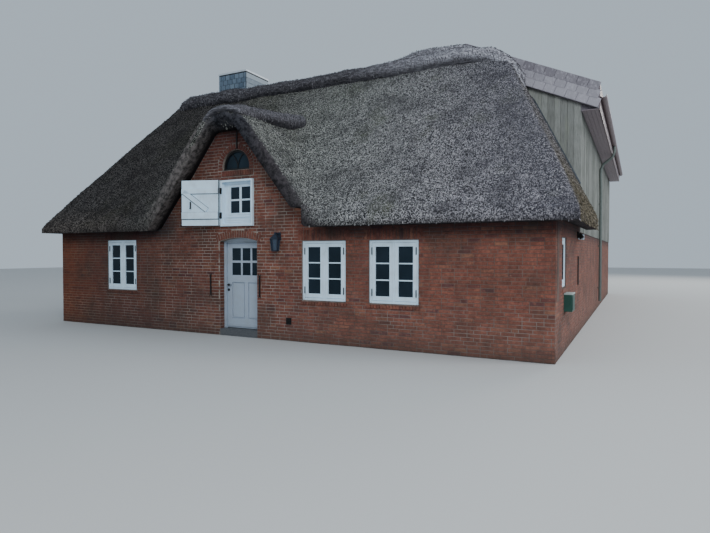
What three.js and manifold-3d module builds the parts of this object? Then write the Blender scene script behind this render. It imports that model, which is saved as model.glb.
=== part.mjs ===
// A thatched brick cottage with a front gable, a hipped roof and a boarded rear wing.
// Millimetres, +Z up. X runs to the right along the front, with 0 near the door's axis.
// Y runs into the house from the outer face of the front wall, and Z starts at the ground.

import * as THREE from 'three';
import { mergeVertices } from 'three/addons/utils/BufferGeometryUtils.js';
import Module from 'manifold-3d';

const wasm = await Module();
wasm.setup();

// Clearance left on every side of a piece, so that neighbours lie 0.3 mm apart
const SEAT = 0.15;

// Main house
const HOUSE = { left: -6140, right: 6660, back: 6600, wall: 300 };
const FLOOR_TOP = 150;
const LOFT = { bottom: 2250, top: 2400 };
const RIDGE_Y = HOUSE.back / 2;

// Thatch: each slope's top surface passes through its eave line at the given height
const THATCH = { thick: 360, eaveTop: 2520, eaveUnder: 2400, ridge: 6500 };
const EAVE_OUT = { front: 470, left: 360, right: 470 };
const EAVE_TRIM = { front: 80, left: 60, right: 80 };
const FRONT_RISE = (THATCH.ridge - THATCH.eaveTop) / (RIDGE_Y + EAVE_OUT.front);
const LEFT_RISE = Math.tan(THREE.MathUtils.degToRad(70.5));
const RIGHT_RISE = Math.tan(THREE.MathUtils.degToRad(63));
const SPLIT_X = -60;

// Front gable: the line of its soffit, which is steeper on the right and ends there in a level step
const GABLE = { x: -60, apex: 4930, leftRise: 1.064, rightRise: 1.274, hood: 4790 };
const GABLE_ELBOW = [-1330, 3690];
const GABLE_SHOULDER = [-560, 4660];
const GABLE_BROW = -330;
const GABLE_STEP = { x: 2050, z: 2790 };
const GABLE_THATCH = { thick: 280, top: 4970, front: -400, back: 3000 };

// Rear wing, whose right wall stands in one plane with the main house's right end
const WING = { left: 1260, right: 6660, front: 4100, back: 18000, boards: 120 };
const WING_ROOF = { rise: 0.45, ridge: 7135, thick: 220, eave: 400, verge: 600, vergeDepth: 120, soffit: 5150 };
const WING_X = (WING.left + WING.right) / 2;
const GUTTER = { radius: 75, wall: 6, drop: 290 };
const PIPE = { y: 10400, radius: 45, foot: 260, reach: 90 };

// Doorway, with a rebate that is wider on the right, and the door in it
const DOORWAY = { left: -570, right: 480, spring: 2130, crown: 2205 };
const REBATE = { depth: 140, right: 620 };
const DOOR_FRAME = { left: -518, right: 566, front: 140, back: 244 };
const DOOR_LEAF = { left: -512, right: 560, bottom: 160, top: 2095, front: 200, back: 244 };
const DOOR_HINGE = { x: 563, y: 254, radius: 9, length: 45, plate: 38, heights: [420, 1095, 1770] };
const DOOR_GLAZING = { left: -385, right: 425, bottom: 1362, top: 1975 };
const DOOR_HANDLE = { x: -478, z: 1138 };

// Windows: width along the wall, height, and the bottom and centre of the opening
const FRONT_WINDOWS = {
  front_left_window: { x: -3795, width: 1050, bottom: 940, height: 1250 },
  front_middle_window: { x: 2165, width: 1030, bottom: 885, height: 1230 },
  front_right_window: { x: 3715, width: 1030, bottom: 885, height: 1230 },
};
const END_WINDOW = { y: 1150, width: 620, bottom: 1230, height: 920 };
const LEFT_END_WINDOW = { y: 3300, width: 1030, bottom: 885, height: 1230 };
const REAR_WINDOW = { x: -3000, width: 1030, bottom: 885, height: 1230 };
const WING_WINDOW = { x: WING_X, width: 1030, bottom: 885, height: 1230 };
const CASEMENT = { edge: 135, middle: 205, setback: 30, depth: 70, pane: 8 };

// Loft hatch with its open shutter, and the half-round light above it
const HATCH = { x: -52, width: 906, bottom: 2465, top: 3495, proud: 60, depth: 120 };
const SHUTTER = { width: 905, bottom: 2485, top: 3505, thick: 34, open: 18 };
const LUNETTE = { x: -95, radius: 375, base: 3715, stilt: 75, setback: 60, depth: 60 };

// Chimney, lantern and meter box
const CHIMNEY = { left: -3680, right: -2640, front: 3560, back: 4660, top: 7330, cap: 90, lip: 20 };
const LANTERN = { x: 1065, bottom: 1900, top: 2320, half: 110, reach: 250 };
const METER_BOX = { y: 1330, width: 420, bottom: 780, height: 340, depth: 152 };

// Heather rolls
const RIDGE_ROLL = {
  radius: 235,
  front: [[-5260, 3300, 6130], [-4950, 3300, 6400], [-4300, 3300, 6490], [0, 3300, 6465],
    [2400, 3300, 6475], [3400, 3300, 6560], [4300, 3300, 6500], [4900, 3300, 6330], [5380, 3300, 5980]],
  back: [[1500, 3600, 6340], [2600, 3680, 6560], [3500, 3700, 6680], [4300, 3690, 6560], [4950, 3600, 6260]],
};
const GABLE_ROLL = {
  radius: 185,
  path: [[-90, -470, 4900], [-40, 300, 4960], [60, 1100, 4985], [360, 1950, 5040]],
};

const COLOURS = {
  brick: [0x8c3f2c, 0.9, 0],
  thatch: [0x77706a, 1, 0],
  heather: [0x54484a, 1, 0],
  boards: [0x7d8674, 0.85, 0],
  shingle: [0x6a6261, 0.85, 0],
  slate: [0x55606d, 0.6, 0],
  lead: [0xb6bcc0, 0.5, 0.3],
  paint: [0xe6ebee, 0.45, 0],
  glass: [0x1b2530, 0.1, 0],
  iron: [0x1c1b1c, 0.5, 0.4],
  gutter: [0x6e5550, 0.5, 0.3],
  floor: [0x8b7560, 0.8, 0],
  stone: [0x8f8a83, 0.9, 0],
  meter: [0x1f4a3c, 0.5, 0],
};

// A closed geometry as a solid that can be joined and cut
function solidOf(geometry) {
  const bare = geometry.index ? geometry.toNonIndexed() : geometry.clone();
  bare.deleteAttribute('normal');
  bare.deleteAttribute('uv');
  const merged = mergeVertices(bare, 1e-3);
  return new wasm.Manifold(new wasm.Mesh({
    numProp: 3,
    vertProperties: new Float32Array(merged.attributes.position.array),
    triVerts: new Uint32Array(merged.index.array),
  }));
}

// The largest body of a solid, without the crumbs that a slanting cut can leave
function mainBody(solid) {
  return solid.decompose().reduce((best, part) => (part.volume() > best.volume() ? part : best));
}

function geometryOf(solid) {
  const mesh = solid.getMesh();
  const geometry = new THREE.BufferGeometry();
  geometry.setAttribute('position', new THREE.BufferAttribute(new Float32Array(mesh.vertProperties), 3));
  geometry.setIndex(new THREE.BufferAttribute(new Uint32Array(mesh.triVerts), 1));
  geometry.computeVertexNormals();
  return geometry;
}

function piece(name, solid, colour) {
  const [hex, roughness, metalness] = COLOURS[colour];
  const material = new THREE.MeshStandardMaterial({ color: hex, roughness, metalness });
  const mesh = new THREE.Mesh(geometryOf(solid), material);
  mesh.name = name;
  return mesh;
}

function outline(points) {
  return new THREE.Shape(points.map(([a, b]) => new THREE.Vector2(a, b)));
}

// A prism of an [x, z] outline that runs along Y
function prismAlongY(shape, y0, y1) {
  const geometry = new THREE.ExtrudeGeometry(shape, { depth: y1 - y0, bevelEnabled: false, curveSegments: 16 });
  return solidOf(geometry.rotateX(Math.PI / 2).translate(0, y1, 0));
}

// A prism of a [y, z] outline that runs along X
function prismAlongX(shape, x0, x1) {
  const geometry = new THREE.ExtrudeGeometry(shape, { depth: x1 - x0, bevelEnabled: false, curveSegments: 16 });
  return solidOf(geometry.rotateX(Math.PI / 2).rotateZ(Math.PI / 2).translate(x0, 0, 0));
}

// A prism of an [x, y] outline that runs along Z
function prismAlongZ(shape, z0, z1) {
  const geometry = new THREE.ExtrudeGeometry(shape, { depth: z1 - z0, bevelEnabled: false, curveSegments: 16 });
  return solidOf(geometry.translate(0, 0, z0));
}

function box(x0, x1, y0, y1, z0, z1) {
  const geometry = new THREE.BoxGeometry(x1 - x0, y1 - y0, z1 - z0);
  return solidOf(geometry.translate((x0 + x1) / 2, (y0 + y1) / 2, (z0 + z1) / 2));
}

// A box that keeps its seat clearance on every side
function block(x0, x1, y0, y1, z0, z1) {
  return box(x0 + SEAT, x1 - SEAT, y0 + SEAT, y1 - SEAT, z0 + SEAT, z1 - SEAT);
}

function tube(points, radius, sides, steps) {
  const path = new THREE.CatmullRomCurve3(points.map((p) => new THREE.Vector3(...p)));
  const section = new THREE.Shape();
  section.absarc(0, 0, radius, 0, 2 * Math.PI);
  const geometry = new THREE.ExtrudeGeometry(section, {
    steps,
    extrudePath: path,
    curveSegments: sides,
  });
  return solidOf(geometry);
}

// Everything under the thatch's top surface, or under that surface sunk by a depth
function underRoof(depth, bottom) {
  const frontDrop = depth * Math.hypot(1, FRONT_RISE);
  const top = THATCH.ridge - frontDrop;
  const reach = (top - bottom) / FRONT_RISE;
  const slopes = prismAlongX(
    outline([[RIDGE_Y - reach, bottom], [RIDGE_Y + reach, bottom], [RIDGE_Y, top]]),
    HOUSE.left - 2000,
    HOUSE.right + 2000,
  );
  const leftAt = (z) => HOUSE.left - EAVE_OUT.left
    + (depth * Math.hypot(1, LEFT_RISE) + z - THATCH.eaveTop) / LEFT_RISE;
  const rightAt = (z) => HOUSE.right + EAVE_OUT.right
    - (depth * Math.hypot(1, RIGHT_RISE) + z - THATCH.eaveTop) / RIGHT_RISE;
  const high = THATCH.ridge + 500;
  const hips = prismAlongY(
    outline([[leftAt(bottom), bottom], [rightAt(bottom), bottom], [rightAt(high), high], [leftAt(high), high]]),
    -3000,
    HOUSE.back + 3000,
  );
  return slopes.intersect(hips);
}

// The main roof's outer form, down to the level underside of its eaves
function roofForm(clearance) {
  const trimmed = box(
    HOUSE.left - EAVE_OUT.left + EAVE_TRIM.left - clearance,
    HOUSE.right + EAVE_OUT.right - EAVE_TRIM.right + clearance,
    -EAVE_OUT.front + EAVE_TRIM.front - clearance,
    HOUSE.back + EAVE_OUT.front - EAVE_TRIM.front + clearance,
    THATCH.eaveUnder - clearance,
    THATCH.ridge + 1000,
  );
  return underRoof(-clearance, THATCH.eaveUnder - 400).intersect(trimmed);
}

// The front gable's outline under its soffit, or above it by the thatch's depth
function gableOutline(depth, hood, bottom) {
  const leftApex = GABLE.apex + depth * Math.hypot(1, GABLE.leftRise);
  const rightApex = GABLE.apex + depth * Math.hypot(1, GABLE.rightRise);
  const leftAt = (z) => GABLE.x - (leftApex - z) / GABLE.leftRise;
  const rightAt = (z) => GABLE.x + (rightApex - z) / GABLE.rightRise;
  const stepX = GABLE_STEP.x + depth;
  const stepZ = GABLE_STEP.z + depth;
  const foot = depth > 0 ? [[rightAt(bottom), bottom]] : [[stepX, bottom], [stepX, stepZ], [rightAt(stepZ), stepZ]];
  const brow = [[GABLE_BROW - depth * 0.4, hood], [GABLE_SHOULDER[0] - depth * 0.8, GABLE_SHOULDER[1] + depth * 0.6],
    [GABLE_ELBOW[0] - depth * 0.8, GABLE_ELBOW[1] + depth * 0.6]];
  return outline([[leftAt(bottom), bottom], ...foot, [rightAt(hood), hood], ...brow]);
}

function gableSpace(depth, y0, y1) {
  return prismAlongY(gableOutline(depth, GABLE.hood + depth, THATCH.eaveUnder - 400), y0, y1);
}

// Plan regions of the hipped roof, each pulled in by the seat clearance
function roofRegions() {
  const frontY = -EAVE_OUT.front;
  const backY = HOUSE.back + EAVE_OUT.front;
  const leftX = HOUSE.left - EAVE_OUT.left;
  const rightX = HOUSE.right + EAVE_OUT.right;
  const rise = THATCH.ridge - THATCH.eaveTop;
  const ridgeLeft = [leftX + rise / LEFT_RISE, RIDGE_Y];
  const ridgeRight = [rightX - rise / RIGHT_RISE, RIDGE_Y];
  const beyond = (from, to) => [to[0] + (to[0] - from[0]) * 0.5, to[1] + (to[1] - from[1]) * 0.5];
  const corners = {
    frontLeft: beyond(ridgeLeft, [leftX, frontY]),
    frontRight: beyond(ridgeRight, [rightX, frontY]),
    backLeft: beyond(ridgeLeft, [leftX, backY]),
    backRight: beyond(ridgeRight, [rightX, backY]),
  };
  const region = (points) => prismAlongZ(outline(insetPolygon(points, SEAT)), 2000, 8000);
  return {
    front: region([corners.frontLeft, corners.frontRight, ridgeRight, ridgeLeft]),
    back: region([ridgeLeft, ridgeRight, corners.backRight, corners.backLeft]),
    left: region([ridgeLeft, corners.backLeft, corners.frontLeft]),
    right: region([ridgeRight, corners.frontRight, corners.backRight]),
  };
}

// A convex polygon, counter-clockwise, with every edge moved in by a distance
function insetPolygon(points, distance) {
  const edges = points.map((a, i) => {
    const b = points[(i + 1) % points.length];
    const length = Math.hypot(b[0] - a[0], b[1] - a[1]);
    const normal = [-(b[1] - a[1]) / length, (b[0] - a[0]) / length];
    return { normal, offset: normal[0] * a[0] + normal[1] * a[1] + distance };
  });
  return edges.map((edge, i) => {
    const before = edges[(i + edges.length - 1) % edges.length];
    const det = before.normal[0] * edge.normal[1] - before.normal[1] * edge.normal[0];
    const x = (before.offset * edge.normal[1] - edge.offset * before.normal[1]) / det;
    const y = (before.normal[0] * edge.offset - edge.normal[0] * before.offset) / det;
    return [x, y];
  });
}

function thatchPieces() {
  const shell = roofForm(0)
    .subtract(underRoof(THATCH.thick, 0))
    .subtract(gableSpace(0, -2000, GABLE_THATCH.back));
  const wingSpace = box(WING.left - SEAT, WING.right + 2000, WING.front - SEAT, WING.back, 0, 9000);
  const regions = roofRegions();
  const front = shell.intersect(regions.front);
  const leftHalf = box(-9000, SPLIT_X - SEAT, -2000, 5000, 0, 9000);
  const rightHalf = box(SPLIT_X + SEAT, 9000, -2000, 5000, 0, 9000);
  const hood = GABLE_THATCH.top;
  const gable = prismAlongY(
    gableOutline(GABLE_THATCH.thick, hood, THATCH.eaveUnder),
    GABLE_THATCH.front,
    GABLE_THATCH.back,
  )
    .subtract(gableSpace(0, -2000, 2 * GABLE_THATCH.back))
    .subtract(roofForm(2 * SEAT));
  return [
    piece('thatch_front_left', front.intersect(leftHalf), 'thatch'),
    piece('thatch_front_right', front.intersect(rightHalf), 'thatch'),
    piece('thatch_gable', mainBody(gable), 'thatch'),
    piece('thatch_left_hip', shell.intersect(regions.left), 'thatch'),
    piece('thatch_right_hip', shell.intersect(regions.right).subtract(wingSpace), 'thatch'),
    piece('thatch_rear', shell.intersect(regions.back).subtract(wingSpace), 'thatch'),
  ];
}

function rollPieces() {
  const thatchTop = roofForm(2 * SEAT);
  const gableTop = prismAlongY(
    gableOutline(GABLE_THATCH.thick + 2 * SEAT, GABLE_THATCH.top + 2 * SEAT, THATCH.eaveUnder),
    GABLE_THATCH.front - 2 * SEAT,
    GABLE_THATCH.back,
  );
  const ridge = tube(RIDGE_ROLL.front, RIDGE_ROLL.radius, 12, 44)
    .add(tube(RIDGE_ROLL.back, RIDGE_ROLL.radius, 12, 16))
    .subtract(thatchTop);
  const overGable = tube(GABLE_ROLL.path, GABLE_ROLL.radius, 12, 14)
    .subtract(thatchTop)
    .subtract(gableTop)
    .subtract(box(-1000, 1000, -1000, GABLE_THATCH.front - 2 * SEAT, 0, GABLE_THATCH.top));
  return [piece('ridge_roll', mainBody(ridge), 'heather'), piece('gable_roll', mainBody(overGable), 'heather')];
}

function opening(x, width, z, height) {
  return box(x - width / 2, x + width / 2, -500, 800, z, z + height);
}

function doorwayCut() {
  const { left, right, spring, crown } = DOORWAY;
  const half = (right - left) / 2;
  const rise = crown - spring;
  const radius = (half * half + rise * rise) / (2 * rise);
  const angle = Math.asin(half / radius);
  const shape = new THREE.Shape();
  shape.moveTo(left, 0);
  shape.lineTo(right, 0);
  shape.lineTo(right, spring);
  shape.absarc((left + right) / 2, crown - radius, radius, Math.PI / 2 - angle, Math.PI / 2 + angle, false);
  return shape;
}

function rebateCut(gap) {
  return box(0, REBATE.right - gap, REBATE.depth + gap, 800, FLOOR_TOP + gap, DOORWAY.spring - gap);
}

function lunetteShape(radius) {
  const shape = new THREE.Shape();
  shape.moveTo(LUNETTE.x - radius, LUNETTE.base);
  shape.lineTo(LUNETTE.x + radius, LUNETTE.base);
  shape.absarc(LUNETTE.x, LUNETTE.base + LUNETTE.stilt, radius, 0, Math.PI, false);
  return shape;
}

function frontWallPieces() {
  const { left, right, wall } = HOUSE;
  const attic = underRoof(THATCH.thick + 2 * SEAT, -100);
  const gableFoot = GABLE.apex - LOFT.top;
  const footLeft = GABLE.x - gableFoot / GABLE.leftRise;
  const gableBand = box(footLeft - SEAT, GABLE_STEP.x + SEAT, -100, 500, LOFT.top - SEAT, 6000);
  const top = THATCH.eaveTop + 600;
  let leftWall = block(left, DOORWAY.left, 0, wall, 0, top).intersect(attic).subtract(gableBand);
  let rightWall = block(DOORWAY.right, right, 0, wall, 0, top).intersect(attic).subtract(gableBand)
    .subtract(rebateCut(-SEAT));
  const windows = Object.values(FRONT_WINDOWS);
  leftWall = leftWall.subtract(opening(windows[0].x, windows[0].width, windows[0].bottom, windows[0].height));
  for (const window of windows.slice(1)) {
    rightWall = rightWall.subtract(opening(window.x, window.width, window.bottom, window.height));
  }
  const face = prismAlongY(
    gableOutline(-2 * SEAT, GABLE.hood - 2 * SEAT, LOFT.top + SEAT),
    SEAT,
    wall - SEAT,
  );
  const gable = face
    .add(block(DOORWAY.left, DOORWAY.right, 0, wall, DOORWAY.spring, LOFT.top + 10))
    .subtract(prismAlongY(doorwayCut(), -500, 800))
    .subtract(opening(HATCH.x, HATCH.width, HATCH.bottom, HATCH.top - HATCH.bottom))
    .subtract(prismAlongY(lunetteShape(LUNETTE.radius), -500, 800));
  return [
    piece('front_wall_left', leftWall, 'brick'),
    piece('front_wall_right', rightWall, 'brick'),
    piece('front_gable', gable, 'brick'),
  ];
}

function sideOpening({ y, width, bottom, height }, x) {
  return box(x - 800, x + 800, y - width / 2, y + width / 2, bottom, bottom + height);
}

function houseWallPieces() {
  const { left, right, back, wall } = HOUSE;
  const attic = underRoof(THATCH.thick + 2 * SEAT, -100);
  const top = THATCH.eaveTop + 1200;
  const leftEnd = block(left, left + wall, wall, back - wall, 0, top)
    .intersect(attic)
    .subtract(sideOpening(LEFT_END_WINDOW, left));
  const rightEnd = block(right - wall, right, wall, WING.front, 0, top)
    .intersect(attic)
    .subtract(sideOpening(END_WINDOW, right));
  const rear = block(left, WING.left, back - wall, back, 0, top)
    .intersect(attic)
    .subtract(opening(REAR_WINDOW.x, REAR_WINDOW.width, REAR_WINDOW.bottom, REAR_WINDOW.height)
      .translate([0, back - wall, 0]));
  return [
    piece('left_end_wall', leftEnd, 'brick'),
    piece('right_end_wall', rightEnd, 'brick'),
    piece('rear_wall', rear, 'brick'),
  ];
}

function floorPieces() {
  const { left, right, back, wall } = HOUSE;
  const plan = insetPolygon([[left + wall, wall], [right - wall, wall], [right - wall, back - wall],
    [left + wall, back - wall]], SEAT);
  const wingPlan = [[WING.left + wall + SEAT, back - wall - 100], [WING.right - wall - SEAT, back - wall - 100],
    [WING.right - wall - SEAT, WING.back - wall - SEAT], [WING.left + wall + SEAT, WING.back - wall - SEAT]];
  const slab = (z0, z1) => prismAlongZ(outline(plan), z0, z1).add(prismAlongZ(outline(wingPlan), z0, z1));
  return [
    piece('ground_floor', slab(SEAT, FLOOR_TOP - SEAT), 'floor'),
    piece('loft_floor', slab(LOFT.bottom + SEAT, LOFT.top - SEAT), 'floor'),
  ];
}

// Everything under the wing roof's top surface, or under that surface sunk by a height
function underWingRoof(drop, overhang, y0, y1) {
  const half = (WING.right - WING.left) / 2 + overhang;
  const top = WING_ROOF.ridge - drop;
  const eave = top - half * WING_ROOF.rise;
  const points = [[WING_X - half, 1000], [WING_X + half, 1000], [WING_X + half, eave], [WING_X, top],
    [WING_X - half, eave]];
  return prismAlongY(outline(points), y0, y1);
}

function wingWallPieces() {
  const { left, right, front, back, boards } = WING;
  const { wall } = HOUSE;
  const brickTop = LOFT.top;
  const under = underWingRoof(WING_ROOF.thick + 2 * SEAT, 200, front - 500, back + 500);
  const high = WING_ROOF.ridge;
  const boardWall = (x0, x1, y0, y1) => block(x0, x1, y0, y1, brickTop, high).intersect(under);
  const rearWindow = box(WING_WINDOW.x - WING_WINDOW.width / 2, WING_WINDOW.x + WING_WINDOW.width / 2,
    back - 800, back + 800, WING_WINDOW.bottom, WING_WINDOW.bottom + WING_WINDOW.height);
  return [
    piece('wing_right_wall', block(right - wall, right, front, back, 0, brickTop), 'brick'),
    piece('wing_left_wall', block(left, left + wall, HOUSE.back - wall, back, 0, brickTop), 'brick'),
    piece('wing_rear_wall', block(left + wall, right - wall, back - wall, back, 0, brickTop).subtract(rearWindow),
      'brick'),
    piece('wing_front_boards', boardWall(left, right, front, front + boards), 'boards'),
    piece('wing_right_boards', boardWall(right - boards, right, front + boards, back - boards), 'boards'),
    piece('wing_left_boards', boardWall(left, left + boards, front + boards, back - boards), 'boards'),
    piece('wing_rear_boards', boardWall(left, right, back - boards, back), 'boards'),
  ];
}

function wingRoofPieces() {
  const { front, back } = WING;
  const { thick, eave, verge, vergeDepth, soffit } = WING_ROOF;
  const eaveBox = box(WING.left - eave, WING.right + eave, front + SEAT, back - SEAT, soffit, soffit + 500)
    .subtract(box(WING.left - 2 * SEAT, WING.right + 2 * SEAT, 0, 20000, 0, 9000));
  const whole = underWingRoof(0, eave, front + SEAT, back - SEAT)
    .subtract(underWingRoof(thick, eave + 100, front - 500, back + 500))
    .add(eaveBox)
    .subtract(roofForm(2 * SEAT));
  const rightSide = box(WING_X + SEAT, 9000, 0, 20000, 0, 9000);
  const leftSide = box(-9000, WING_X - SEAT, 0, 20000, 0, 9000);
  const gableTrim = (y0, y1) => underWingRoof(0, eave, y0 + SEAT, y1 - SEAT)
    .subtract(underWingRoof(verge, eave + 100, y0 - 500, y1 + 500))
    .subtract(roofForm(2 * SEAT));
  return [
    piece('wing_roof_right', whole.intersect(rightSide), 'shingle'),
    piece('wing_roof_left', whole.intersect(leftSide), 'shingle'),
    piece('wing_front_verge', gableTrim(front - vergeDepth, front), 'shingle'),
    piece('wing_rear_verge', gableTrim(back, back + vergeDepth), 'shingle'),
  ];
}

// A half-round channel hung along one eave of the wing
function gutter(name, side, y0) {
  const { radius, wall, drop } = GUTTER;
  const half = (WING.right - WING.left) / 2 + WING_ROOF.eave;
  const x = WING_X + side * (half + radius + 2 * SEAT);
  const z = WING_ROOF.ridge - half * WING_ROOF.rise - drop;
  const channel = new THREE.Shape();
  channel.absarc(x, z, radius, Math.PI, 2 * Math.PI, false);
  channel.absarc(x, z, radius - wall, 2 * Math.PI, Math.PI, true);
  return piece(name, prismAlongY(channel, y0, WING.back + WING_ROOF.vergeDepth), 'gutter');
}

function downpipe() {
  const half = (WING.right - WING.left) / 2 + WING_ROOF.eave;
  const gutterX = WING_X + half + GUTTER.radius + 2 * SEAT;
  const top = WING_ROOF.ridge - half * WING_ROOF.rise - GUTTER.drop - GUTTER.radius - 2 * SEAT;
  const wallX = WING.right + PIPE.reach;
  const route = [[gutterX, PIPE.y, top], [gutterX, PIPE.y, top - 250], [gutterX - 60, PIPE.y, top - 350],
    [wallX + 60, PIPE.y, top - 560], [wallX, PIPE.y, top - 680], [wallX, PIPE.y, top - 1500],
    [wallX, PIPE.y, PIPE.foot]];
  return piece('wing_downpipe', tube(route, PIPE.radius, 8, 30), 'gutter');
}

function chimneyPieces() {
  const { left, right, front, back, top, cap, lip } = CHIMNEY;
  const roof = roofForm(2 * SEAT);
  const roll = tube(RIDGE_ROLL.front, RIDGE_ROLL.radius + 2 * SEAT, 12, 44);
  return [
    piece('chimney_stack', block(left, right, front, back, THATCH.eaveTop + 2000, top).subtract(roof).subtract(roll),
      'slate'),
    piece('chimney_cap', block(left - lip, right + lip, front - lip, back + lip, top, top + cap), 'lead'),
  ];
}

// A casement window with two leaves: frame, middle post and one thin pane behind both lights
function casement(width, height) {
  const { edge, middle, setback, depth, pane } = CASEMENT;
  const half = width / 2;
  const light = (x0, x1) => {
    const face = box(x0, x1, setback - 50, setback + (depth - pane) / 2, edge, height - edge);
    const inside = box(x0, x1, setback + (depth + pane) / 2, setback + depth + 50, edge, height - edge);
    return face.add(inside);
  };
  const body = block(-half, half, setback, setback + depth, 0, height);
  if (width < 800) {
    return body.subtract(light(-half + edge * 0.6, half - edge * 0.6));
  }
  return body
    .subtract(light(-half + edge, -middle / 2))
    .subtract(light(middle / 2, half - edge));
}

function placedWindow(name, { width, height, bottom }, x, y, turn) {
  const mesh = piece(name, casement(width, height), 'paint');
  mesh.position.set(x, y, bottom);
  mesh.rotation.z = turn;
  return mesh;
}

function windowPieces() {
  const front = Object.entries(FRONT_WINDOWS).map(([name, size]) => placedWindow(name, size, size.x, 0, 0));
  return [
    ...front,
    placedWindow('end_window', END_WINDOW, HOUSE.right, END_WINDOW.y, Math.PI / 2),
    placedWindow('left_end_window', LEFT_END_WINDOW, HOUSE.left, LEFT_END_WINDOW.y, -Math.PI / 2),
    placedWindow('rear_window', REAR_WINDOW, REAR_WINDOW.x, HOUSE.back, Math.PI),
    placedWindow('wing_window', WING_WINDOW, WING_WINDOW.x, WING.back, Math.PI),
  ];
}

function lunetteWindow() {
  const { setback, depth, radius, x, base } = LUNETTE;
  const body = prismAlongY(lunetteShape(radius - 2 * SEAT), setback, setback + depth)
    .intersect(box(x - radius, x + radius, 0, 400, base + SEAT, base + 2 * radius));
  const rim = 50;
  const light = lunetteShape(radius - rim);
  const cut = prismAlongY(light, setback - 50, setback + depth / 2 - 4)
    .add(prismAlongY(light, setback + depth / 2 + 4, setback + depth + 50))
    .intersect(box(x - radius, x + radius, -50, 400, base + rim, base + 2 * radius));
  return piece('lunette_window', body.subtract(cut), 'paint');
}

// The hatch has a deep box frame that stands proud of the wall, with a small window and a board below it
function hatchWindow() {
  const { x, width, bottom, top, proud, depth } = HATCH;
  const half = width / 2;
  const edge = 45;
  const boardTop = bottom + 230;
  const light = { edge: 130, bottom: 330, top: 180 };
  const body = block(x - half, x + half, -proud, depth, bottom, top)
    .subtract(box(x - half + edge, x + half - edge, -proud - 50, 30, bottom + edge, top - edge))
    .subtract(box(x - half + edge, x + half - edge, 80, depth + 50, boardTop, top - edge));
  const pane = (y0, y1) => box(x - half + light.edge, x + half - light.edge, y0, y1, bottom + light.bottom,
    top - light.top);
  return piece('hatch_window', body.subtract(pane(0, 50)).subtract(pane(58, 100)), 'paint');
}

function hatchShutter() {
  const { width, bottom, top, thick, open } = SHUTTER;
  const mesh = piece('hatch_shutter', block(-width, 0, -thick, 0, bottom, top), 'paint');
  mesh.position.set(HATCH.x - HATCH.width / 2, -HATCH.proud - 2 * SEAT, 0);
  mesh.rotation.z = THREE.MathUtils.degToRad(open);
  return mesh;
}

// One half of a door hinge: a barrel about the pivot with its plate, on the frame's or the leaf's side
function hingeBarrel(side, bottom) {
  const { x, y, radius, length, plate } = DOOR_HINGE;
  const barrel = new THREE.CylinderGeometry(radius, radius, length, 12)
    .rotateX(Math.PI / 2)
    .translate(x, y, bottom + length / 2);
  const from = Math.min(x, x + side * plate);
  const to = Math.max(x, x + side * plate);
  return solidOf(barrel).add(box(from, to, DOOR_LEAF.back - 2, y, bottom, bottom + length));
}

function doorPieces() {
  const { left, right, spring, crown } = DOORWAY;
  const { front, back } = DOOR_FRAME;
  const leaf = DOOR_LEAF;
  const glazing = DOOR_GLAZING;
  const frameBody = block(left, REBATE.right, front, back, FLOOR_TOP, spring)
    .add(prismAlongY(doorwayCut(), front + SEAT, back - SEAT)
      .intersect(box(left + 2, right - 2, 0, 400, spring - 5, crown - SEAT)))
    .subtract(box(DOOR_FRAME.left, DOOR_FRAME.right, 0, 400, 0, leaf.top + 6));
  const glazingHole = box(glazing.left, glazing.right, 0, 400, glazing.bottom, glazing.top);
  let hungFrame = frameBody;
  let leafBody = box(leaf.left, leaf.right, leaf.front, leaf.back, leaf.bottom, leaf.top).subtract(glazingHole);
  for (const height of DOOR_HINGE.heights) {
    hungFrame = hungFrame.add(hingeBarrel(1, height - DOOR_HINGE.length));
    leafBody = leafBody.add(hingeBarrel(-1, height + 2 * SEAT));
  }
  const middle = (leaf.front + leaf.back) / 2;
  const glass = block(glazing.left, glazing.right, middle - 4, middle + 4, glazing.bottom, glazing.top);
  return [
    piece('door_sill', block(left, right, 0, HOUSE.wall, 0, FLOOR_TOP), 'stone'),
    piece('door_frame', hungFrame, 'paint'),
    piece('door_leaf', leafBody, 'paint'),
    piece('door_glass', glass, 'glass'),
    piece('door_handle', doorHandle(), 'iron'),
  ];
}

function doorHandle() {
  const { x, z } = DOOR_HANDLE;
  const face = DOOR_LEAF.front - SEAT;
  const rose = new THREE.CylinderGeometry(26, 26, 10, 16).translate(x, face - 5 - SEAT, z);
  const neck = box(x - 9, x + 9, face - 45, face - 8, z - 9, z + 9);
  const lever = box(x - 9, x + 110, face - 45, face - 30, z - 9, z + 9);
  return solidOf(rose).add(neck).add(lever);
}

function wallLantern() {
  const { x, bottom, top, half, reach } = LANTERN;
  const back = -SEAT;
  const plate = box(x - 50, x + 50, back - 20, back, top - 160, top - 10);
  const arm = box(x - 12, x + 12, -reach + 10, back - 10, top - 60, top - 36);
  const hood = new THREE.CylinderGeometry(30, half + 20, 90, 8).rotateX(Math.PI / 2)
    .translate(x, -reach + half, top - 80);
  const cage = new THREE.CylinderGeometry(half, half * 0.6, top - bottom - 120, 8).rotateX(Math.PI / 2)
    .translate(x, -reach + half, (bottom + top - 120) / 2);
  return piece('wall_lantern', plate.add(arm).add(solidOf(hood)).add(solidOf(cage)), 'iron');
}

function meterBox() {
  const { y, width, bottom, height, depth } = METER_BOX;
  const x = HOUSE.right;
  return piece('meter_box', block(x, x + depth, y - width / 2, y + width / 2, bottom, bottom + height), 'meter');
}

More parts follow.
